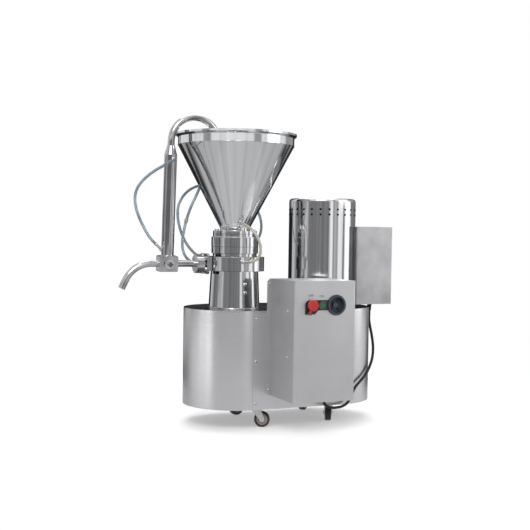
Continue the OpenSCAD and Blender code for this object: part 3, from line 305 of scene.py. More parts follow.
for name, low, high, strength, stops in WALLS:
    bpy.ops.object.select_all(action="DESELECT")
    bpy.ops.mesh.primitive_cylinder_add(
        vertices=ROUND_SIDES, radius=WALL_R, depth=high - low, end_fill_type="NOTHING",
        location=(MIDDLE.x, MIDDLE.y, (low + high) / 2))
    paper(bpy.context.object, name, strength, stops)
print("walls:", [wall[0] for wall in WALLS])

# %% Sheets under the mill, darker behind it
SHEET_GLOW, SHEET_EDGE = 2.0, 14
SHEETS = (("near_sheet", 1.0, 0.001, strips(0.24, ((12, 196, 0.33),), SHEET_EDGE)),
          ("deep_sheet", 3.39, PIT, strips(0.02, ((4, 216, 0.3),), SHEET_EDGE)))
for name, radius, height, stops in SHEETS:
    bpy.ops.object.select_all(action="DESELECT")
    bpy.ops.mesh.primitive_circle_add(vertices=ROUND_SIDES, radius=radius, fill_type="NGON",
                                      location=(MIDDLE.x, MIDDLE.y, height))
    paper(bpy.context.object, name, SHEET_GLOW, stops)
print("sheets:", [sheet[0] for sheet in SHEETS])

# %% A dark board behind the mill
BACK_SIDE = CAMERA_SIDE + math.pi
BOARD_AWAY, BOARD_SHIFT, BOARD_Z, BOARD_SIZE = 1.3, (-0.32, 0.15), 0.5, (2.3, 0.5, 1)
bpy.ops.object.select_all(action="DESELECT")
bpy.ops.mesh.primitive_plane_add(
    size=1, rotation=(math.pi / 2, 0, BACK_SIDE - math.pi / 2),
    location=(MIDDLE.x + BOARD_AWAY * math.cos(BACK_SIDE) + BOARD_SHIFT[0],
              MIDDLE.y + BOARD_AWAY * math.sin(BACK_SIDE) + BOARD_SHIFT[1], BOARD_Z))
back_board = bpy.context.object
back_board.scale = BOARD_SIZE
paper(back_board, "back_board", 1.0, [(0.0, 0.015), (1.0, 0.025)])
print("board", BOARD_AWAY, "behind the middle")

# %% [markdown]
# Lamps
#
# A large lamp from the left front, a weaker one from the right and one from above give the soft
# shading of a product photograph. A sun lamp would be simpler, but its shadows have hard edges.

# %% Three soft lamps
def soft_lamp(name, place, size, power):
    """A square area lamp that looks at the middle of the mill."""
    bpy.ops.object.light_add(type="AREA", location=place)
    lamp = bpy.context.object
    lamp.name = name
    lamp.data.size = size
    lamp.data.energy = power
    lamp.rotation_euler = (MIDDLE - Vector(place)).to_track_quat("-Z", "Y").to_euler()
    return lamp


lamps = [soft_lamp("key_lamp", (-1.6, -2.6, 2.6), 1.6, 55),
         soft_lamp("fill_lamp", (2.4, -1.8, 1.6), 1.6, 26),
         soft_lamp("top_lamp", (0.2, 0.8, 3.0), 2.2, 40)]
print("lamps:", [lamp.name for lamp in lamps])

# %% [markdown]
# Steel finishes
#
# Nearly everything on the mill is stainless steel: polished on the spun and turned pieces,
# smokier on the pipes, brushed on the skirt, and a fine satin on the two boxes. One helper wires
# all of them: a broad noise shifts the tone a little, and a stretched fine noise gives the grain
# to roughness and bump. A painted picture of steel would slide in other views.

# %% A procedural finish
NOISE_LOW, NOISE_HIGH = 0.3, 0.7
RELIEF_DEPTH = 0.0004


def around(tree, axis_x):
    """Coordinates that change only round an upright axis, so any noise on them makes streaks."""
    where = tree.nodes.new("ShaderNodeTexCoord")
    centre = shader(tree, "ShaderNodeMapping", Location=(-axis_x, 0, 0))
    flat = working(tree, "ShaderNodeVectorMath", "MULTIPLY")
    flat.inputs[1].default_value = (1, 1, 0)
    unit = working(tree, "ShaderNodeVectorMath", "NORMALIZE")
    wire(tree, (where.outputs["Object"], centre.inputs["Vector"]),
         (centre.outputs[0], flat.inputs[0]), (flat.outputs[0], unit.inputs[0]))
    return unit.outputs[0]


def finish(name, dark, light, rough, grain, mottle=5.0, bump=0.1, metallic=1.0, axis_x=None,
           **sockets):
    """Tone from a broad noise, roughness and bump from a stretched one, on Object coordinates."""
    made = bpy.data.materials.new(name)
    made.use_nodes = True
    tree = made.node_tree
    surface = tree.nodes["Principled BSDF"]
    surface.inputs["Metallic"].default_value = metallic
    for socket, value in sockets.items():
        surface.inputs[socket.replace("_", " ")].default_value = value
    if axis_x is None:
        place = tree.nodes.new("ShaderNodeTexCoord").outputs["Object"]
    else:
        place = around(tree, axis_x)
    stretch = shader(tree, "ShaderNodeMapping", Scale=grain)
    fine = shader(tree, "ShaderNodeTexNoise", Scale=1.0, Detail=4.0)
    broad = shader(tree, "ShaderNodeTexNoise", Scale=mottle, Detail=3.0)
    tone = tree.nodes.new("ShaderNodeValToRGB")
    low, high = tone.color_ramp.elements
    low.position, high.position = NOISE_LOW, NOISE_HIGH
    low.color, high.color = (*dark, 1), (*light, 1)
    gloss = shader(tree, "ShaderNodeMapRange", From_Min=NOISE_LOW, From_Max=NOISE_HIGH,
                   To_Min=rough[0], To_Max=rough[1])
    relief = shader(tree, "ShaderNodeBump", Strength=bump, Distance=RELIEF_DEPTH)
    wire(tree, (place, stretch.inputs["Vector"]), (stretch.outputs[0], fine.inputs["Vector"]),
         (place, broad.inputs["Vector"]), (broad.outputs[0], tone.inputs[0]),
         (fine.outputs[0], gloss.inputs["Value"]), (fine.outputs[0], relief.inputs["Height"]),
         (tone.outputs[0], surface.inputs["Base Color"]),
         (gloss.outputs[0], surface.inputs["Roughness"]),
         (relief.outputs[0], surface.inputs["Normal"]))
    return made


def dress(material, *names):
    """Puts a finish on CAD nodes and smooths nothing: their normals come with the model."""
    for name in names:
        nodes[name].data.materials.clear()
        nodes[name].data.materials.append(material)
    print(material.name, "on", len(names), "nodes")


# %% Polished steel
MILL_MM, MOTOR_MM = -160, 160
MILL_X, MOTOR_X = MILL_MM / MM_PER_M, MOTOR_MM / MM_PER_M
mirror_steel = finish("mirror_steel", (0.64, 0.645, 0.65), (0.72, 0.725, 0.73), (0.07, 0.14),
                      (9, 9, 1.5), bump=0.08)
hopper_steel = finish("hopper_steel", (0.58, 0.585, 0.59), (0.74, 0.745, 0.75), (0.07, 0.13),
                      (16, 16, 1), mottle=13, bump=0.25, axis_x=MILL_X)
mill_steel = finish("mill_steel", (0.46, 0.465, 0.47), (0.74, 0.745, 0.75), (0.06, 0.13),
                    (14, 14, 1), mottle=11, bump=0.5, axis_x=MILL_X)
cover_steel = finish("cover_steel", (0.50, 0.505, 0.51), (0.76, 0.765, 0.77), (0.05, 0.12),
                     (18, 18, 1), mottle=15, bump=0.5, axis_x=MOTOR_X)
smoky_steel = finish("smoky_steel", (0.30, 0.30, 0.31), (0.52, 0.52, 0.53), (0.04, 0.09),
                     (20, 20, 2), bump=0.3)
valve_steel = finish("valve_steel", (0.34, 0.34, 0.35), (0.60, 0.60, 0.61), (0.09, 0.16),
                     (30, 30, 8), mottle=30, bump=0.4)
turned_steel = finish("turned_steel", (0.48, 0.48, 0.50), (0.58, 0.58, 0.60), (0.16, 0.28),
                      (20, 20, 320), bump=0.08)
dress(hopper_steel, "hopper")
dress(smoky_steel, "pipe_jacket")
dress(cover_steel, "motor_cover")
dress(mill_steel, "pedestal", "discharge_ring", "stator_housing", "adjusting_ring")
dress(valve_steel, "return_pipe", "valve_body", "outlet_flange", "union_nut", "discharge_pipe",
      "spout")
dress(turned_steel, "hose_nipples", "fasteners", "spindle", "spindle_bearings", "motor_shaft",
      "stator", "rotor", "rotor_nut")

# %% Sheet steel, castings and zinc
CORNERS = ("front_left", "front_right", "rear_left", "rear_right")
brushed_sheet = finish("brushed_sheet", (0.64, 0.64, 0.645), (0.70, 0.70, 0.705), (0.27, 0.31),
                       (6, 6, 1200), bump=0.006)
satin_box = finish("satin_box", (0.55, 0.55, 0.555), (0.60, 0.60, 0.605), (0.36, 0.46),
                   (500, 500, 60), mottle=9, bump=0.06)
dull_box = finish("dull_box", (0.36, 0.36, 0.365), (0.52, 0.52, 0.525), (0.30, 0.42),
                  (300, 300, 50), mottle=11, bump=0.08)
dark_steel = finish("dark_steel", (0.05, 0.05, 0.055), (0.09, 0.09, 0.1), (0.45, 0.6),
                    (90, 90, 90), metallic=0.4)
zinc_plate = finish("zinc_plate", (0.54, 0.54, 0.53), (0.68, 0.68, 0.67), (0.22, 0.36),
                    (120, 120, 120), mottle=60)
cast_iron = finish("cast_iron", (0.10, 0.12, 0.14), (0.15, 0.17, 0.19), (0.55, 0.7),
                   (300, 300, 300), metallic=0.2, bump=0.4)
dress(brushed_sheet, "left_end_panel", "right_end_panel", "front_panel", "rear_panel")
dress(satin_box, "control_box", "control_back")
dress(dull_box, "terminal_box")
dress(dark_steel, "base_plate", "frame_posts", "caster_plates")
dress(cast_iron, "mill_pulley", "motor_pulley", "motor_body")
dress(zinc_plate, *("fork_" + corner for corner in CORNERS))

# %% [markdown]
# Two tones told apart by place
#
# The top plate has a dull dark skin on top, while its cut edge is bare steel. The square end of
# the valve's plug is painted darker than the disc that it stands on: a painted shade that outlines
# the square. One coordinate tells the two apart, so a Map Range turns it into a mask between the
# finish and a second tone.

# %% The deck's finish and the plug's painted shade
MIX_A, MIX_B, MIX_RESULT = 6, 7, 2  # the colour sockets of a Mix node
DECK_TOP, PLUG_FACE = 0.378, -0.0275


def mix_in(made, mask, tone):
    """Mixes a second tone into a finish's base colour by a mask."""
    tree = made.node_tree
    ramp = next(n for n in tree.nodes if n.type == "VALTORGB")
    mixed = tree.nodes.new("ShaderNodeMix")
    mixed.data_type = "RGBA"
    mixed.inputs[MIX_B].default_value = (*tone, 1)
    wire(tree, (mask, mixed.inputs[0]), (ramp.outputs[0], mixed.inputs[MIX_A]),
         (mixed.outputs[MIX_RESULT], tree.nodes["Principled BSDF"].inputs["Base Color"]))


def second_tone(made, axis, start, end, tone):
    """Mixes another tone in where one Object coordinate goes past start to end, in metres."""
    tree = made.node_tree
    where = tree.nodes.new("ShaderNodeTexCoord")
    apart = tree.nodes.new("ShaderNodeSeparateXYZ")
    mask = shader(tree, "ShaderNodeMapRange", From_Min=start, From_Max=end)
    wire(tree, (where.outputs["Object"], apart.inputs[0]),
         (apart.outputs[axis], mask.inputs["Value"]))
    mix_in(made, mask.outputs[0], tone)


deck = finish("deck_skin", (0.64, 0.64, 0.645), (0.70, 0.70, 0.705), (0.22, 0.3), (40, 40, 40),
              mottle=8, bump=0.02)
second_tone(deck, "Z", DECK_TOP - 0.0004, DECK_TOP - 0.0001, (0.17, 0.17, 0.175))
dress(deck, "top_plate")
plug_steel_painted_shade = finish("plug_steel_painted_shade", (0.64, 0.645, 0.65), (0.72, 0.725, 0.73), (0.1, 0.18),
                    (30, 30, 30), bump=0.1)
# painted shade: the darker tone on the plug's square end stands for the shadow round it
second_tone(plug_steel_painted_shade, "Y", PLUG_FACE, PLUG_FACE - 0.0005, (0.16, 0.16, 0.165))
dress(plug_steel_painted_shade, "valve_plug")

# %% [markdown]
# Plastics and rubber
#
# Moulded plastic has a faint orange peel and never one even colour, and rubber is dull with a
# dusty bloom. They are the same helper with no metal in it and a grain that is even all round.


# %% Finishes of plastic and rubber
def plastic(name, dark, light, rough, grain, **more):
    """A finish with no metal in it."""
    return finish(name, dark, light, rough, (grain, grain, grain), metallic=0.0, **more)


hub_grey = plastic("hub_grey", (0.30, 0.30, 0.30), (0.38, 0.38, 0.37), (0.4, 0.55), 200)
# real black rubber, also used for the painted shade lines round the grinding head
black_rubber = plastic("black_rubber", (0.006, 0.006, 0.006), (0.014, 0.014, 0.014), (0.5, 0.65),
                       200, Specular_IOR_Level=0.25)
belt_rubber = plastic("belt_rubber", (0.014, 0.014, 0.014), (0.03, 0.03, 0.03), (0.6, 0.8), 200)
black_moulding = plastic("black_moulding", (0.008, 0.008, 0.009), (0.018, 0.018, 0.02),
                         (0.35, 0.5), 400)
slate_moulding = plastic("slate_moulding", (0.03, 0.04, 0.055), (0.05, 0.06, 0.08),
                         (0.3, 0.45), 400)
stop_red = plastic("stop_red", (0.42, 0.016, 0.013), (0.52, 0.026, 0.02), (0.25, 0.35), 300,
                   mottle=40)
start_green = plastic("start_green", (0.006, 0.12, 0.035), (0.012, 0.18, 0.06), (0.25, 0.35), 300,
                      mottle=40)
dress(hub_grey, *("hub_" + corner for corner in CORNERS))
dress(black_rubber, "cable_glands", "shaft_seal")
dress(belt_rubber, "drive_belts")
dress(black_moulding, "switch_plate")
dress(slate_moulding, "power_socket")
dress(stop_red, "stop_paddle")
dress(start_green, "start_button")

# %% [markdown]
# Clear hoses
#
# The hoses are clear plastic tube with water in them, and the short one in front has yellowed.
# Full transmission, as for glass, would let them vanish before the white ground, so only a part
# of the light goes through, and a broad noise in the tone stands for the light in the water.

# %% Finishes of the cords
clear_hose = plastic("clear_hose", (0.17, 0.23, 0.29), (0.52, 0.60, 0.67), (0.04, 0.1), 60,
                     mottle=14, Transmission_Weight=0.45, IOR=1.36)
amber_hose = plastic("amber_hose", (0.52, 0.46, 0.34), (0.72, 0.71, 0.68), (0.10, 0.2), 60,
                     mottle=22, Transmission_Weight=0.3, IOR=1.35)
for node, cord in cords.items():
    coat = {"power_cable": black_rubber, "hose_front": amber_hose}.get(node, clear_hose)
    cord.data.materials.append(coat)
    dress(coat, node)

# %% [markdown]
# Two-tone tyres
#
# A caster tyre is dark red on its flanks and nearly black where it runs on the floor. Two solids
# would do, but the distance from the wheel's centre tells flank from tread, so a Mapping node is
# moved to each wheel's centre and a mask changes the colour where the tread begins.

# %% A tyre's finish
TREAD_R, TREAD_EDGE, TREAD_BLACK = 0.0242, 0.0006, (0.012, 0.011, 0.012)


def tyre_finish(corner):
    """Red rubber that turns black past the tread's radius round this wheel's centre."""
    low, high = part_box("tyre_" + corner)
    made = plastic("tyre_" + corner, (0.10, 0.016, 0.02), (0.15, 0.03, 0.035), (0.45, 0.65), 150,
                   mottle=30)
    tree = made.node_tree
    where = tree.nodes.new("ShaderNodeTexCoord")
    centre = shader(tree, "ShaderNodeMapping", Location=-(low + high) / 2)
    away = working(tree, "ShaderNodeVectorMath", "LENGTH")
    tread = shader(tree, "ShaderNodeMapRange", From_Min=TREAD_R - TREAD_EDGE, From_Max=TREAD_R)
    wire(tree, (where.outputs["Object"], centre.inputs["Vector"]),
         (centre.outputs[0], away.inputs[0]), (away.outputs["Value"], tread.inputs["Value"]))
    mix_in(made, tread.outputs[0], TREAD_BLACK)
    return made


for corner in CORNERS:
    dress(tyre_finish(corner), "tyre_" + corner)

# %% [markdown]
# Working by hand in edit mode
#
# The small pieces are modelled as a maker would: a primitive at its real size, shaped in edit
# mode, finished by modifiers that are applied. These helpers select one object, pick faces by
# their place, and set finished copies where the CAD has them.

# %% Helpers for shaping
UPWARD = 0.9  # the least Z of the normal of a face that looks up


def only(*things):
    """Selects these objects and nothing else; the first becomes active."""
    if bpy.context.object and bpy.context.object.mode != "OBJECT":
        bpy.ops.object.mode_set(mode="OBJECT")
    bpy.ops.object.select_all(action="DESELECT")
    for thing in things:
        thing.select_set(True)
    bpy.context.view_layer.objects.active = things[0]


def pick_faces(thing, test):
    """In edit mode, selects the faces whose centre and normal pass the test."""
    bpy.ops.object.mode_set(mode="OBJECT")
    for part in (thing.data.vertices, thing.data.edges):
        for item in part:
            item.select = False
    for face in thing.data.polygons:
        face.select = test(face.center, face.normal)
    bpy.ops.object.mode_set(mode="EDIT")
    bpy.ops.mesh.select_mode(type="FACE")


def harden(thing, width, segments=2, angle=30):
    """Rounds the sharp edges with an applied bevel."""
    only(thing)
    bevel = thing.modifiers.new("edge", "BEVEL")
    bevel.width = width
    bevel.segments = segments
    bevel.limit_method = "ANGLE"
    bevel.angle_limit = math.radians(angle)
    bpy.ops.object.modifier_apply(modifier=bevel.name)


def thicken(thing, thickness, offset=-1.0):
    """Gives an open shell a wall with an applied Solidify."""
    wall = thing.modifiers.new("wall", "SOLIDIFY")
    wall.thickness = thickness
    wall.offset = offset
    bpy.ops.object.modifier_apply(modifier=wall.name)


def carve(thing, tool):
    """Cuts a tool shape out of a piece and removes the tool."""
    only(thing)
    cutter = thing.modifiers.new("carve", "BOOLEAN")
    cutter.object = tool
    bpy.ops.object.modifier_apply(modifier=cutter.name)
    bpy.data.objects.remove(tool)


# %% Helpers for placing
SOFT_ANGLE = 35


def apply_place():
    """Moves the active object's place into its mesh."""
    bpy.ops.object.transform_apply(location=True, rotation=True, scale=True)


def settle(thing, name, material, body):
    """Names a finished piece, gives it its finish and its body, and smooths its soft edges."""
    only(thing)
    apply_place()
    bpy.ops.object.shade_smooth_by_angle(angle=math.radians(SOFT_ANGLE))
    thing.name = name
    thing.data.materials.clear()
    thing.data.materials.append(material)
    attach(thing, body)
    print(name, "faces", len(thing.data.polygons), "on", body)
    return thing


def facing(place, axis, turn=0.0):
    """A frame at a place in millimetres, with its Z along an axis."""
    return (Matrix.Translation(Vector(place) / MM_PER_M)
            @ Vector(axis).to_track_quat("Z", "Y").to_matrix().to_4x4()
            @ Matrix.Rotation(math.radians(turn), 4, "Z"))


def merged(things):
    """Joins pieces into the first of them."""
    only(*things)
    bpy.ops.object.join()
    return bpy.context.object


def copies(model, frames):
    """Sets a copy of a model, each with its own mesh, into every frame, and joins them."""
    twins = []
    for spot in frames:
        twin = model.copy()
        twin.data = model.data.copy()
        twin.data.transform(spot)
        scene.collection.objects.link(twin)
        twins.append(twin)
    bpy.data.objects.remove(model)
    return merged(twins)


# %% [markdown]
# Panel screws
#
# A pan-head screw is a low dome with a cross recess. A half sphere would be too round, so a
# short cylinder is drawn up in narrowing steps, and a cross of two bars is cut out of the top.
# One screw is modelled and set wherever the skirt, the control box and its back plate have one;
# the pedestal has two larger ones.

# %% One pan-head screw
DOME_STEPS = ((0.24, 0.93), (0.16, 0.84), (0.10, 0.62))  # rise by height, then narrowing
RECESS_LONG, RECESS_WIDE, RECESS_DEEP = 1.15, 0.26, 0.9


def pan_screw(radius, height):
    """A screw head that stands on the origin."""
    bpy.ops.mesh.primitive_cylinder_add(vertices=28, radius=radius, depth=height / 2,
                                        location=(0, 0, height / 4))
    screw = bpy.context.object
    apply_place()
    bpy.ops.object.mode_set(mode="EDIT")
    pick_faces(screw, lambda centre, normal: normal.z > UPWARD)
    for rise, narrow in DOME_STEPS:
        bpy.ops.mesh.extrude_region_move(TRANSFORM_OT_translate={"value": (0, 0, rise * height)})
        bpy.ops.transform.resize(value=(narrow, narrow, 1))
    bpy.ops.object.mode_set(mode="OBJECT")
    for turn in (0, 90):
        bpy.ops.mesh.primitive_cube_add(size=1, location=(0, 0, height))
        bar = bpy.context.object
        bar.scale = (RECESS_LONG * radius, RECESS_WIDE * radius, RECESS_DEEP * height)
        bar.rotation_euler.z = math.radians(turn)
        carve(screw, bar)
    return screw


# %% Screws in their places
PANEL_SCREW, PEDESTAL_SCREW = (0.0045, 0.0024), (0.0062, 0.0036)  # radius and height
TURN_STEP, PLATE_TURN, BOX_TURN, FOOT_TURN = 17, 31, 12, 20  # of the recesses, in degrees
SKIRT_X, SKIRT_Y, SKIRT_Z = (-150, 150), (-165, 165), (85, 217.5, 352)
BACK_PLATE_X, BACK_PLATE_Y, BACK_PLATE_Z = (-107.5, 115.5), -167, (127, 463)
BOX_X, BOX_Y, BOX_Z = -100, -285, (244, 385)
DECK_MM = 378
PEDESTAL_TURN, PEDESTAL_SCREWS_Z = math.radians(-87), (51, 78)
PEDESTAL_R, PEDESTAL_RIM, PEDESTAL_H, PEDESTAL_TAPER = 84, 4.5, 120, 6
skirt_places = [(x, y, z) for x in SKIRT_X for y in SKIRT_Y for z in SKIRT_Z]
screw_frames = [facing(place, (0, place[1], 0), TURN_STEP * i)
                for i, place in enumerate(skirt_places)]
screw_frames += [facing((x, BACK_PLATE_Y, z), (0, -1, 0), PLATE_TURN)
                 for x in BACK_PLATE_X for z in BACK_PLATE_Z]
screw_frames += [facing((BOX_X, BOX_Y, z), (-1, 0, 0), BOX_TURN) for z in BOX_Z]
ray = (math.cos(PEDESTAL_TURN), math.sin(PEDESTAL_TURN), 0)
pedestal_frames = []
for height in PEDESTAL_SCREWS_Z:
    out_r = PEDESTAL_R - PEDESTAL_TAPER * (height - PEDESTAL_RIM) / PEDESTAL_H
    place = (MILL_MM + out_r * ray[0], out_r * ray[1], DECK_MM + height)
    pedestal_frames.append(facing(place, ray, FOOT_TURN))
bpy.ops.object.select_all(action="DESELECT")
settle(copies(pan_screw(*PANEL_SCREW), screw_frames), "panel_screws", turned_steel, "base")
settle(copies(pan_screw(*PEDESTAL_SCREW), pedestal_frames), "pedestal_screws", zinc_plate, "base")

# %% [markdown]
# Hexagon bolts
#
# Six bolts hold the hopper and four hold the outlet flange. A six-sided cylinder is already a
# bolt head; an inset of its top that is lifted a little gives the round chamfer, and a washer
# under it is a flat ring with softened edges.

# %% One bolt with its washer
BOLT_R, BOLT_HIGH, WASHER_THICK = 0.0075, 0.0044, 0.0011
WASHER_WIDER, WASHER_SOFT, HEAD_SOFT = 1.12, 0.3, 0.06
CHAMFER_WIDE, CHAMFER_HIGH = 0.12, 0.1
HOPPER_BOLTS, HOPPER_BOLTS_R, HOPPER_BOLTS_Z = 6, 60.5, 628
FLANGE_X, FLANGE_Y, FLANGE_Z, OUTLET_Z = -268, (-23, 23), (-17, 17), 521


def hex_bolt(radius, height, washer):
    """A bolt head on its washer, standing on the origin."""
    bpy.ops.mesh.primitive_cylinder_add(vertices=32, radius=radius * WASHER_WIDER, depth=washer,
                                        location=(0, 0, washer / 2))
    ring = bpy.context.object
    harden(ring, washer * WASHER_SOFT)
    bpy.ops.mesh.primitive_cylinder_add(vertices=6, radius=radius, depth=height,
                                        location=(0, 0, washer + height / 2))
    head = bpy.context.object
    apply_place()
    bpy.ops.object.mode_set(mode="EDIT")
    pick_faces(head, lambda centre, normal: normal.z > UPWARD)
    bpy.ops.mesh.inset(thickness=radius * CHAMFER_WIDE)
    bpy.ops.transform.translate(value=(0, 0, height * CHAMFER_HIGH))
    bpy.ops.object.mode_set(mode="OBJECT")
    harden(head, radius * HEAD_SOFT)
    return merged((head, ring))


bolt_frames = []
for i in range(HOPPER_BOLTS):
    t = math.radians(60 * i + 30)
    place = (MILL_MM + HOPPER_BOLTS_R * math.cos(t), HOPPER_BOLTS_R * math.sin(t), HOPPER_BOLTS_Z)
    bolt_frames.append(facing(place, (0, 0, 1), 30 * i))
bolt_frames += [facing((FLANGE_X, y, OUTLET_Z + z), (-1, 0, 0), y + z)
                for y in FLANGE_Y for z in FLANGE_Z]
bolts = settle(copies(hex_bolt(BOLT_R, BOLT_HIGH, WASHER_THICK), bolt_frames), "hexagon_bolts",
               turned_steel, "base")
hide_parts("fasteners")

# %% [markdown]
# Hose fittings and clips
#
# Where a hose ends, a hexagon boss is welded to the wall, and a worm clip holds the hose on its
# nipple. The boss is a bevelled six-sided cylinder that is let into the curved wall. The clip is
# a thin band, made by solidifying an open cylinder, with a small screw housing on its side. The
# left hose is pieced together, and a short sleeve with soft ends covers the joint.

# %% Bosses at the walls
BOSS_R, BOSS_LONG, BOSS_SUNK = 0.0072, 0.008, 0.002
BOSS_FOOT_IN, BOSS_FOOT_LONG, BOSS_SOFT = 0.2, 0.25, 0.07
ELBOW_PLACE, ELBOW_AXIS = (-174, -96, 530), (0, 1, 0)  # where the front hose starts
# hose, first or last end, and how far past that end its boss stands in millimetres
BOSSES = (("hose_jacket", 0, 19.7), ("hose_jacket", 1, 24.4), ("hose_back", 0, 25.5),
          ("hose_back", 1, 31.1), ("hose_left", 0, 20.2), ("hose_left", 1, 16.1),
          ("hose_front", 1, 14.0))


def hose_ends(node):
    """Both ends of a hose, each with the way from there into the hose, in millimetres."""
    points = [Vector(point) for point in ROUTES[node]]
    return (points[0], points[1] - points[0]), (points[-1], points[-2] - points[-1])


def hose_boss(radius, depth):
    """A hexagon with a collar at its foot, centred on the origin."""
    bpy.ops.mesh.primitive_cylinder_add(vertices=6, radius=radius, depth=depth)
    boss = bpy.context.object
    bpy.ops.object.mode_set(mode="EDIT")
    pick_faces(boss, lambda centre, normal: normal.z < -UPWARD)
    bpy.ops.mesh.inset(thickness=radius * BOSS_FOOT_IN)
    bpy.ops.mesh.extrude_region_move(
        TRANSFORM_OT_translate={"value": (0, 0, -depth * BOSS_FOOT_LONG)})
    bpy.ops.object.mode_set(mode="OBJECT")
    harden(boss, radius * BOSS_SOFT)
    return boss


sunk = Matrix.Translation((0, 0, -BOSS_SUNK))
boss_frames = [facing(ELBOW_PLACE, ELBOW_AXIS) @ sunk]
for node, end, reach in BOSSES:
    tip, inward = hose_ends(node)[end]
    boss_frames.append(facing(tip - inward.normalized() * reach, -inward) @ sunk)
bpy.ops.object.select_all(action="DESELECT")
settle(copies(hose_boss(BOSS_R, BOSS_LONG), boss_frames), "hose_bosses", turned_steel, "base")

# %% Clips on the hose ends
CLIP_WIDE, CLIP_WALL, CLIP_FROM_END, CLIP_TURN = 0.0055, 0.0006, 6, 140
HOUSING_OUT, HOUSING_DEEP, HOUSING_WIDE, HOUSING_SOFT = 0.0012, 0.0026, 0.0060, 0.0006
WORM_OUT, WORM_ASIDE, WORM_R, WORM_LONG, WORM_SOFT = 0.0013, 0.0040, 0.0014, 0.0030, 0.0003


def hose_clip(radius, width):
    """A band round the Z axis with its screw housing on the X side."""
    bpy.ops.mesh.primitive_cylinder_add(vertices=32, radius=radius, depth=width,
                                        end_fill_type="NOTHING")
    band = bpy.context.object
    thicken(band, CLIP_WALL, 1.0)
    bpy.ops.mesh.primitive_cube_add(size=1, location=(radius + HOUSING_OUT, 0, 0))
    housing = bpy.context.object
    housing.scale = (HOUSING_DEEP, HOUSING_WIDE, width * 0.9)
    apply_place()
    harden(housing, HOUSING_SOFT)
    bpy.ops.mesh.primitive_cylinder_add(vertices=16, radius=WORM_R, depth=WORM_LONG,
                                        location=(radius + WORM_OUT, WORM_ASIDE, 0),
                                        rotation=(math.pi / 2, 0, 0))
    worm = bpy.context.object
    harden(worm, WORM_SOFT)
    return merged((band, housing, worm))


clip_frames = [facing(tip + inward.normalized() * CLIP_FROM_END, inward, CLIP_TURN)
               for node in ("hose_jacket", "hose_back", "hose_left", "hose_front")
               for tip, inward in hose_ends(node)]
bpy.ops.object.select_all(action="DESELECT")
settle(copies(hose_clip(CORD_D / 2, CLIP_WIDE), clip_frames), "hose_clips", zinc_plate, "base")

# %% A joiner in the left hose
JOINER_R, JOINER_LONG, JOINER_SOFT = 0.0062, 0.013, 0.0012
JOINER_POINT = 8  # of the hose's route
before, middle, after = (Vector(p) for p in ROUTES["hose_left"][JOINER_POINT - 1:JOINER_POINT + 2])
bpy.ops.object.select_all(action="DESELECT")
bpy.ops.mesh.primitive_cylinder_add(vertices=28, radius=JOINER_R, depth=JOINER_LONG)
joiner = bpy.context.object
harden(joiner, JOINER_SOFT)
joiner.data.transform(facing(middle, after - before))
settle(joiner, "hose_joiner", amber_hose, "base")

# %% [markdown]
# Weld beads
#
# Pipes are welded to their fittings with a small rippled bead. A torus is the bead's shape, and
# a slight seeded jitter of its points gives the ripple that a hand weld leaves.

# %% Beads at the pipe joints
LEAN = math.radians(4)
VALVE_X = -392
RIPPLE, FEWEST_RIPPLES, RIPPLES_PER_MM = 0.00022, 24, 1.6


def at_valve(x, y, z):
    """A place in the leaning frame of the valve, in millimetres."""
    return (VALVE_X + x, y * math.cos(LEAN) - z * math.sin(LEAN),
            OUTLET_Z + y * math.sin(LEAN) + z * math.cos(LEAN))


RISER = (0, -math.sin(LEAN), math.cos(LEAN))
# place, axis, radius of the joint and radius of the bead
BEADS = ((at_valve(0, 0, 25.6), RISER, 20.2, 1.3), (at_valve(0, 0, 373), RISER, 11.8, 1.2),
         (at_valve(0, 0, 345), RISER, 20.0, 0.7), (at_valve(-31.4, 0, 0), (1, 0, 0), 11.4, 1.3),
         (at_valve(31.4, 0, 0), (1, 0, 0), 11.4, 1.3), ((MILL_MM, 0, 638), (0, 0, 1), 49.2, 1.0),
         ((MILL_MM, 0, 628.6), (0, 0, 1), 49.6, 1.2), ((MILL_MM, 0, 905), (0, 0, 1), 190.0, 0.8),
         ((MILL_MM, 0, 378.8), (0, 0, 1), 84.3, 1.5))
beads = []
for place, axis, ring, bead in BEADS:
    bpy.ops.object.select_all(action="DESELECT")
    bpy.ops.mesh.primitive_torus_add(
        major_radius=ring / MM_PER_M, minor_radius=bead / MM_PER_M,
        major_segments=int(FEWEST_RIPPLES + ring * RIPPLES_PER_MM), minor_segments=8)
    bpy.ops.object.mode_set(mode="EDIT")
    bpy.ops.mesh.select_all(action="SELECT")
    bpy.ops.transform.vertex_random(offset=RIPPLE, uniform=0.1, normal=0.9, seed=7)
    bpy.ops.object.mode_set(mode="OBJECT")
    bpy.context.object.data.transform(facing(place, axis))
    beads.append(bpy.context.object)
settle(merged(beads), "weld_beads", turned_steel, "base")

# %% [markdown]
# Rolled edges and painted shade lines of the grinding head
#
# Turned rings never end in a knife edge, and thin dark lines of shade lie between them. A slim
# torus, pressed a little flat, does both: in steel it is the rounded edge that catches the light,
# in black rubber it is a painted shade line where the shadow gap under a lip falls. They stay
# clear of the adjusting ring, which turns.

# %% Slim rings round the head
SQUEEZE, EDGE_BEAD, SHADE_LINE_BEAD = 0.85, 0.9, 0.6


def press(ring, squeeze):
    """Squeezes a new ring in edit mode about its own centre, so its section becomes an oval."""
    bpy.ops.object.mode_set(mode="EDIT")
    bpy.ops.mesh.select_all(action="SELECT")
    bpy.ops.transform.resize(value=squeeze, center_override=ring.location)
    bpy.ops.object.mode_set(mode="OBJECT")


def slim_rings(name, rings, bead, material):
    """Rings round the mill's axis, each given by its radius and height in millimetres."""
    made = []
    for radius, height in rings:
        bpy.ops.object.select_all(action="DESELECT")
        bpy.ops.mesh.primitive_torus_add(
            major_radius=radius / MM_PER_M, minor_radius=bead / MM_PER_M, major_segments=120,
            minor_segments=8, location=(MILL_X, 0, height / MM_PER_M))
        press(bpy.context.object, (1, 1, SQUEEZE))
        made.append(bpy.context.object)
    return settle(merged(made), name, material, "base")


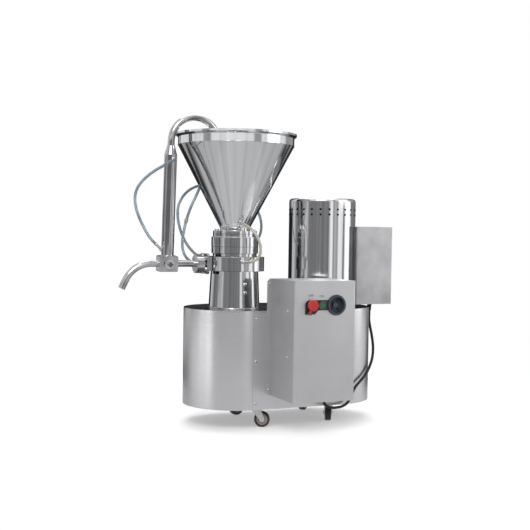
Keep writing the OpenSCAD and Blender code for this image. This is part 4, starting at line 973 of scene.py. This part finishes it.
# radius and height of each ring
EDGES = ((96.3, 543.3), (76.3, 607.3), (71.3, 627.3), (71.4, 608.7))
# painted shade: black tori where the shadow gaps between and under the rings fall
SHADE_LINES = ((71.8, 618.0), (76.7, 576.7), (71.9, 554.2), (96.7, 498.7), (71.9, 544.6))
slim_rings("rolled_edges", EDGES, EDGE_BEAD, mirror_steel)
slim_rings("head_shade_lines", SHADE_LINES, SHADE_LINE_BEAD, black_rubber)

# %% [markdown]
# Rims on the switches
#
# The start button sits in a grey bezel, and the stop paddle has a raised rim. Both are rings seen
# from the front, so a torus is laid into each face and rides on the body that carries it.

# %% Bezel and paddle rim
BEZEL_PLACE, BEZEL_R, BEZEL_BEAD = (-10, -343, 406), 11.2, 1.6
RIM_PLACE, RIM_R, RIM_BEAD = (-43.5, -350.2, 406), 13.8, 0.8


def front_ring(name, place, radius, bead, material, body):
    """A ring that faces the front, at a place in millimetres."""
    bpy.ops.object.select_all(action="DESELECT")
    bpy.ops.mesh.primitive_torus_add(
        major_radius=radius / MM_PER_M, minor_radius=bead / MM_PER_M, major_segments=64,
        minor_segments=8, rotation=(math.pi / 2, 0, 0), location=Vector(place) / MM_PER_M)
    press(bpy.context.object, (1, SQUEEZE, 1))
    return settle(bpy.context.object, name, material, body)


bezel_grey = plastic("bezel_grey", (0.05, 0.055, 0.06), (0.08, 0.085, 0.09), (0.3, 0.45), 300)
front_ring("start_bezel", BEZEL_PLACE, BEZEL_R, BEZEL_BEAD, bezel_grey, "base")
front_ring("paddle_rim", RIM_PLACE, RIM_R, RIM_BEAD, stop_red, "stop_paddle")

# %% [markdown]
# Gauze behind the vents
#
# The vents of the motor cover look black, since a fine dark gauze lies behind them. An open
# cylinder just inside the cover, given a wall by Solidify, is enough: its weave can't be seen.

# %% A ring of gauze
GAUZE_R, GAUZE_HIGH, GAUZE_Z, GAUZE_WALL = 0.1108, 0.04, 0.6955, 0.0004
gauze_black = plastic("gauze_black", (0.004, 0.004, 0.004), (0.010, 0.010, 0.010), (0.7, 0.9),
                      900, Specular_IOR_Level=0.1)
bpy.ops.object.select_all(action="DESELECT")
bpy.ops.mesh.primitive_cylinder_add(vertices=ROUND_SIDES, radius=GAUZE_R, depth=GAUZE_HIGH,
                                    end_fill_type="NOTHING", location=(MOTOR_X, 0, GAUZE_Z))
gauze = bpy.context.object
thicken(gauze, GAUZE_WALL)
settle(gauze, "vent_gauze", gauze_black, "base")

# %% [markdown]
# Grommets in the vents
#
# Each vent has a black edge guard. A torus lying in the hole's plane, pressed a little flat, is
# the guard's shape; it is made once and set into both rows of holes round the cover.

# %% Two rows of grommets
VENTS, VENT_ROWS, COVER_R = 24, (704, 687), 113
GROMMET_R, GROMMET_BEAD = 0.0030, 0.0008
bpy.ops.object.select_all(action="DESELECT")
bpy.ops.mesh.primitive_torus_add(major_radius=GROMMET_R, minor_radius=GROMMET_BEAD,
                                 major_segments=16, minor_segments=6)
grommet = bpy.context.object
press(grommet, (1, 1, SQUEEZE))
vent_frames = []
for vent_z in VENT_ROWS:
    for vent in range(VENTS):
        turn = math.radians(360 / VENTS * vent)
        ray = (math.cos(turn), math.sin(turn), 0)
        vent_frames.append(facing((MOTOR_MM + COVER_R * ray[0], COVER_R * ray[1], vent_z), ray))
settle(copies(grommet, vent_frames), "vent_grommets", gauze_black, "base")

# %% [markdown]
# Contacts in the socket
#
# Down in the round socket stand four dark sleeves. Each sleeve is an open cylinder with a
# solidified wall; they stand on the recess's floor, so they show only when one looks into it.

# %% Contact sleeves
SLEEVE_R, SLEEVE_LONG, SLEEVE_WALL = 0.0028, 0.009, 0.0008
SOCKET_X, SOCKET_FLOOR_Y, SOCKET_Z, CONTACTS_R = 41.5, -322.1, 406, 16
bpy.ops.object.select_all(action="DESELECT")
bpy.ops.mesh.primitive_cylinder_add(vertices=24, radius=SLEEVE_R, depth=SLEEVE_LONG,
                                    location=(0, 0, SLEEVE_LONG / 2), end_fill_type="NOTHING")
sleeve = bpy.context.object
apply_place()
thicken(sleeve, SLEEVE_WALL)
sleeve_frames = []
for t in (math.radians(90 * k + 45) for k in range(4)):
    place = (SOCKET_X + CONTACTS_R * math.cos(t), SOCKET_FLOOR_Y,
             SOCKET_Z + CONTACTS_R * math.sin(t))
    sleeve_frames.append(facing(place, (0, -1, 0)))
settle(copies(sleeve, sleeve_frames), "socket_sleeves", slate_moulding, "base")

# %% [markdown]
# Words over the switches
#
# The two switches are marked OFF and ON. A text object could stay as it is, but text is made a
# mesh here, with a paint's thickness, before its place is applied.

# %% OFF and ON
WORD_Y, WORD_SIZE, PAINT_THICK = -0.3351, 0.0105, 0.00015
label_paint = plastic("label_paint", (0.05, 0.08, 0.11), (0.09, 0.13, 0.17), (0.4, 0.5), 200)
for word, x, z in (("OFF", -0.046, 0.4325), ("ON", -0.009, 0.4300)):
    bpy.ops.object.select_all(action="DESELECT")
    bpy.ops.object.text_add(location=(x, WORD_Y, z), rotation=(math.pi / 2, 0, 0))
    text = bpy.context.object
    text.data.body = word
    text.data.size = WORD_SIZE
    text.data.extrude = PAINT_THICK
    text.data.align_x = "CENTER"
    bpy.ops.object.convert(target="MESH")
    settle(bpy.context.object, "word_" + word.lower(), label_paint, "base")
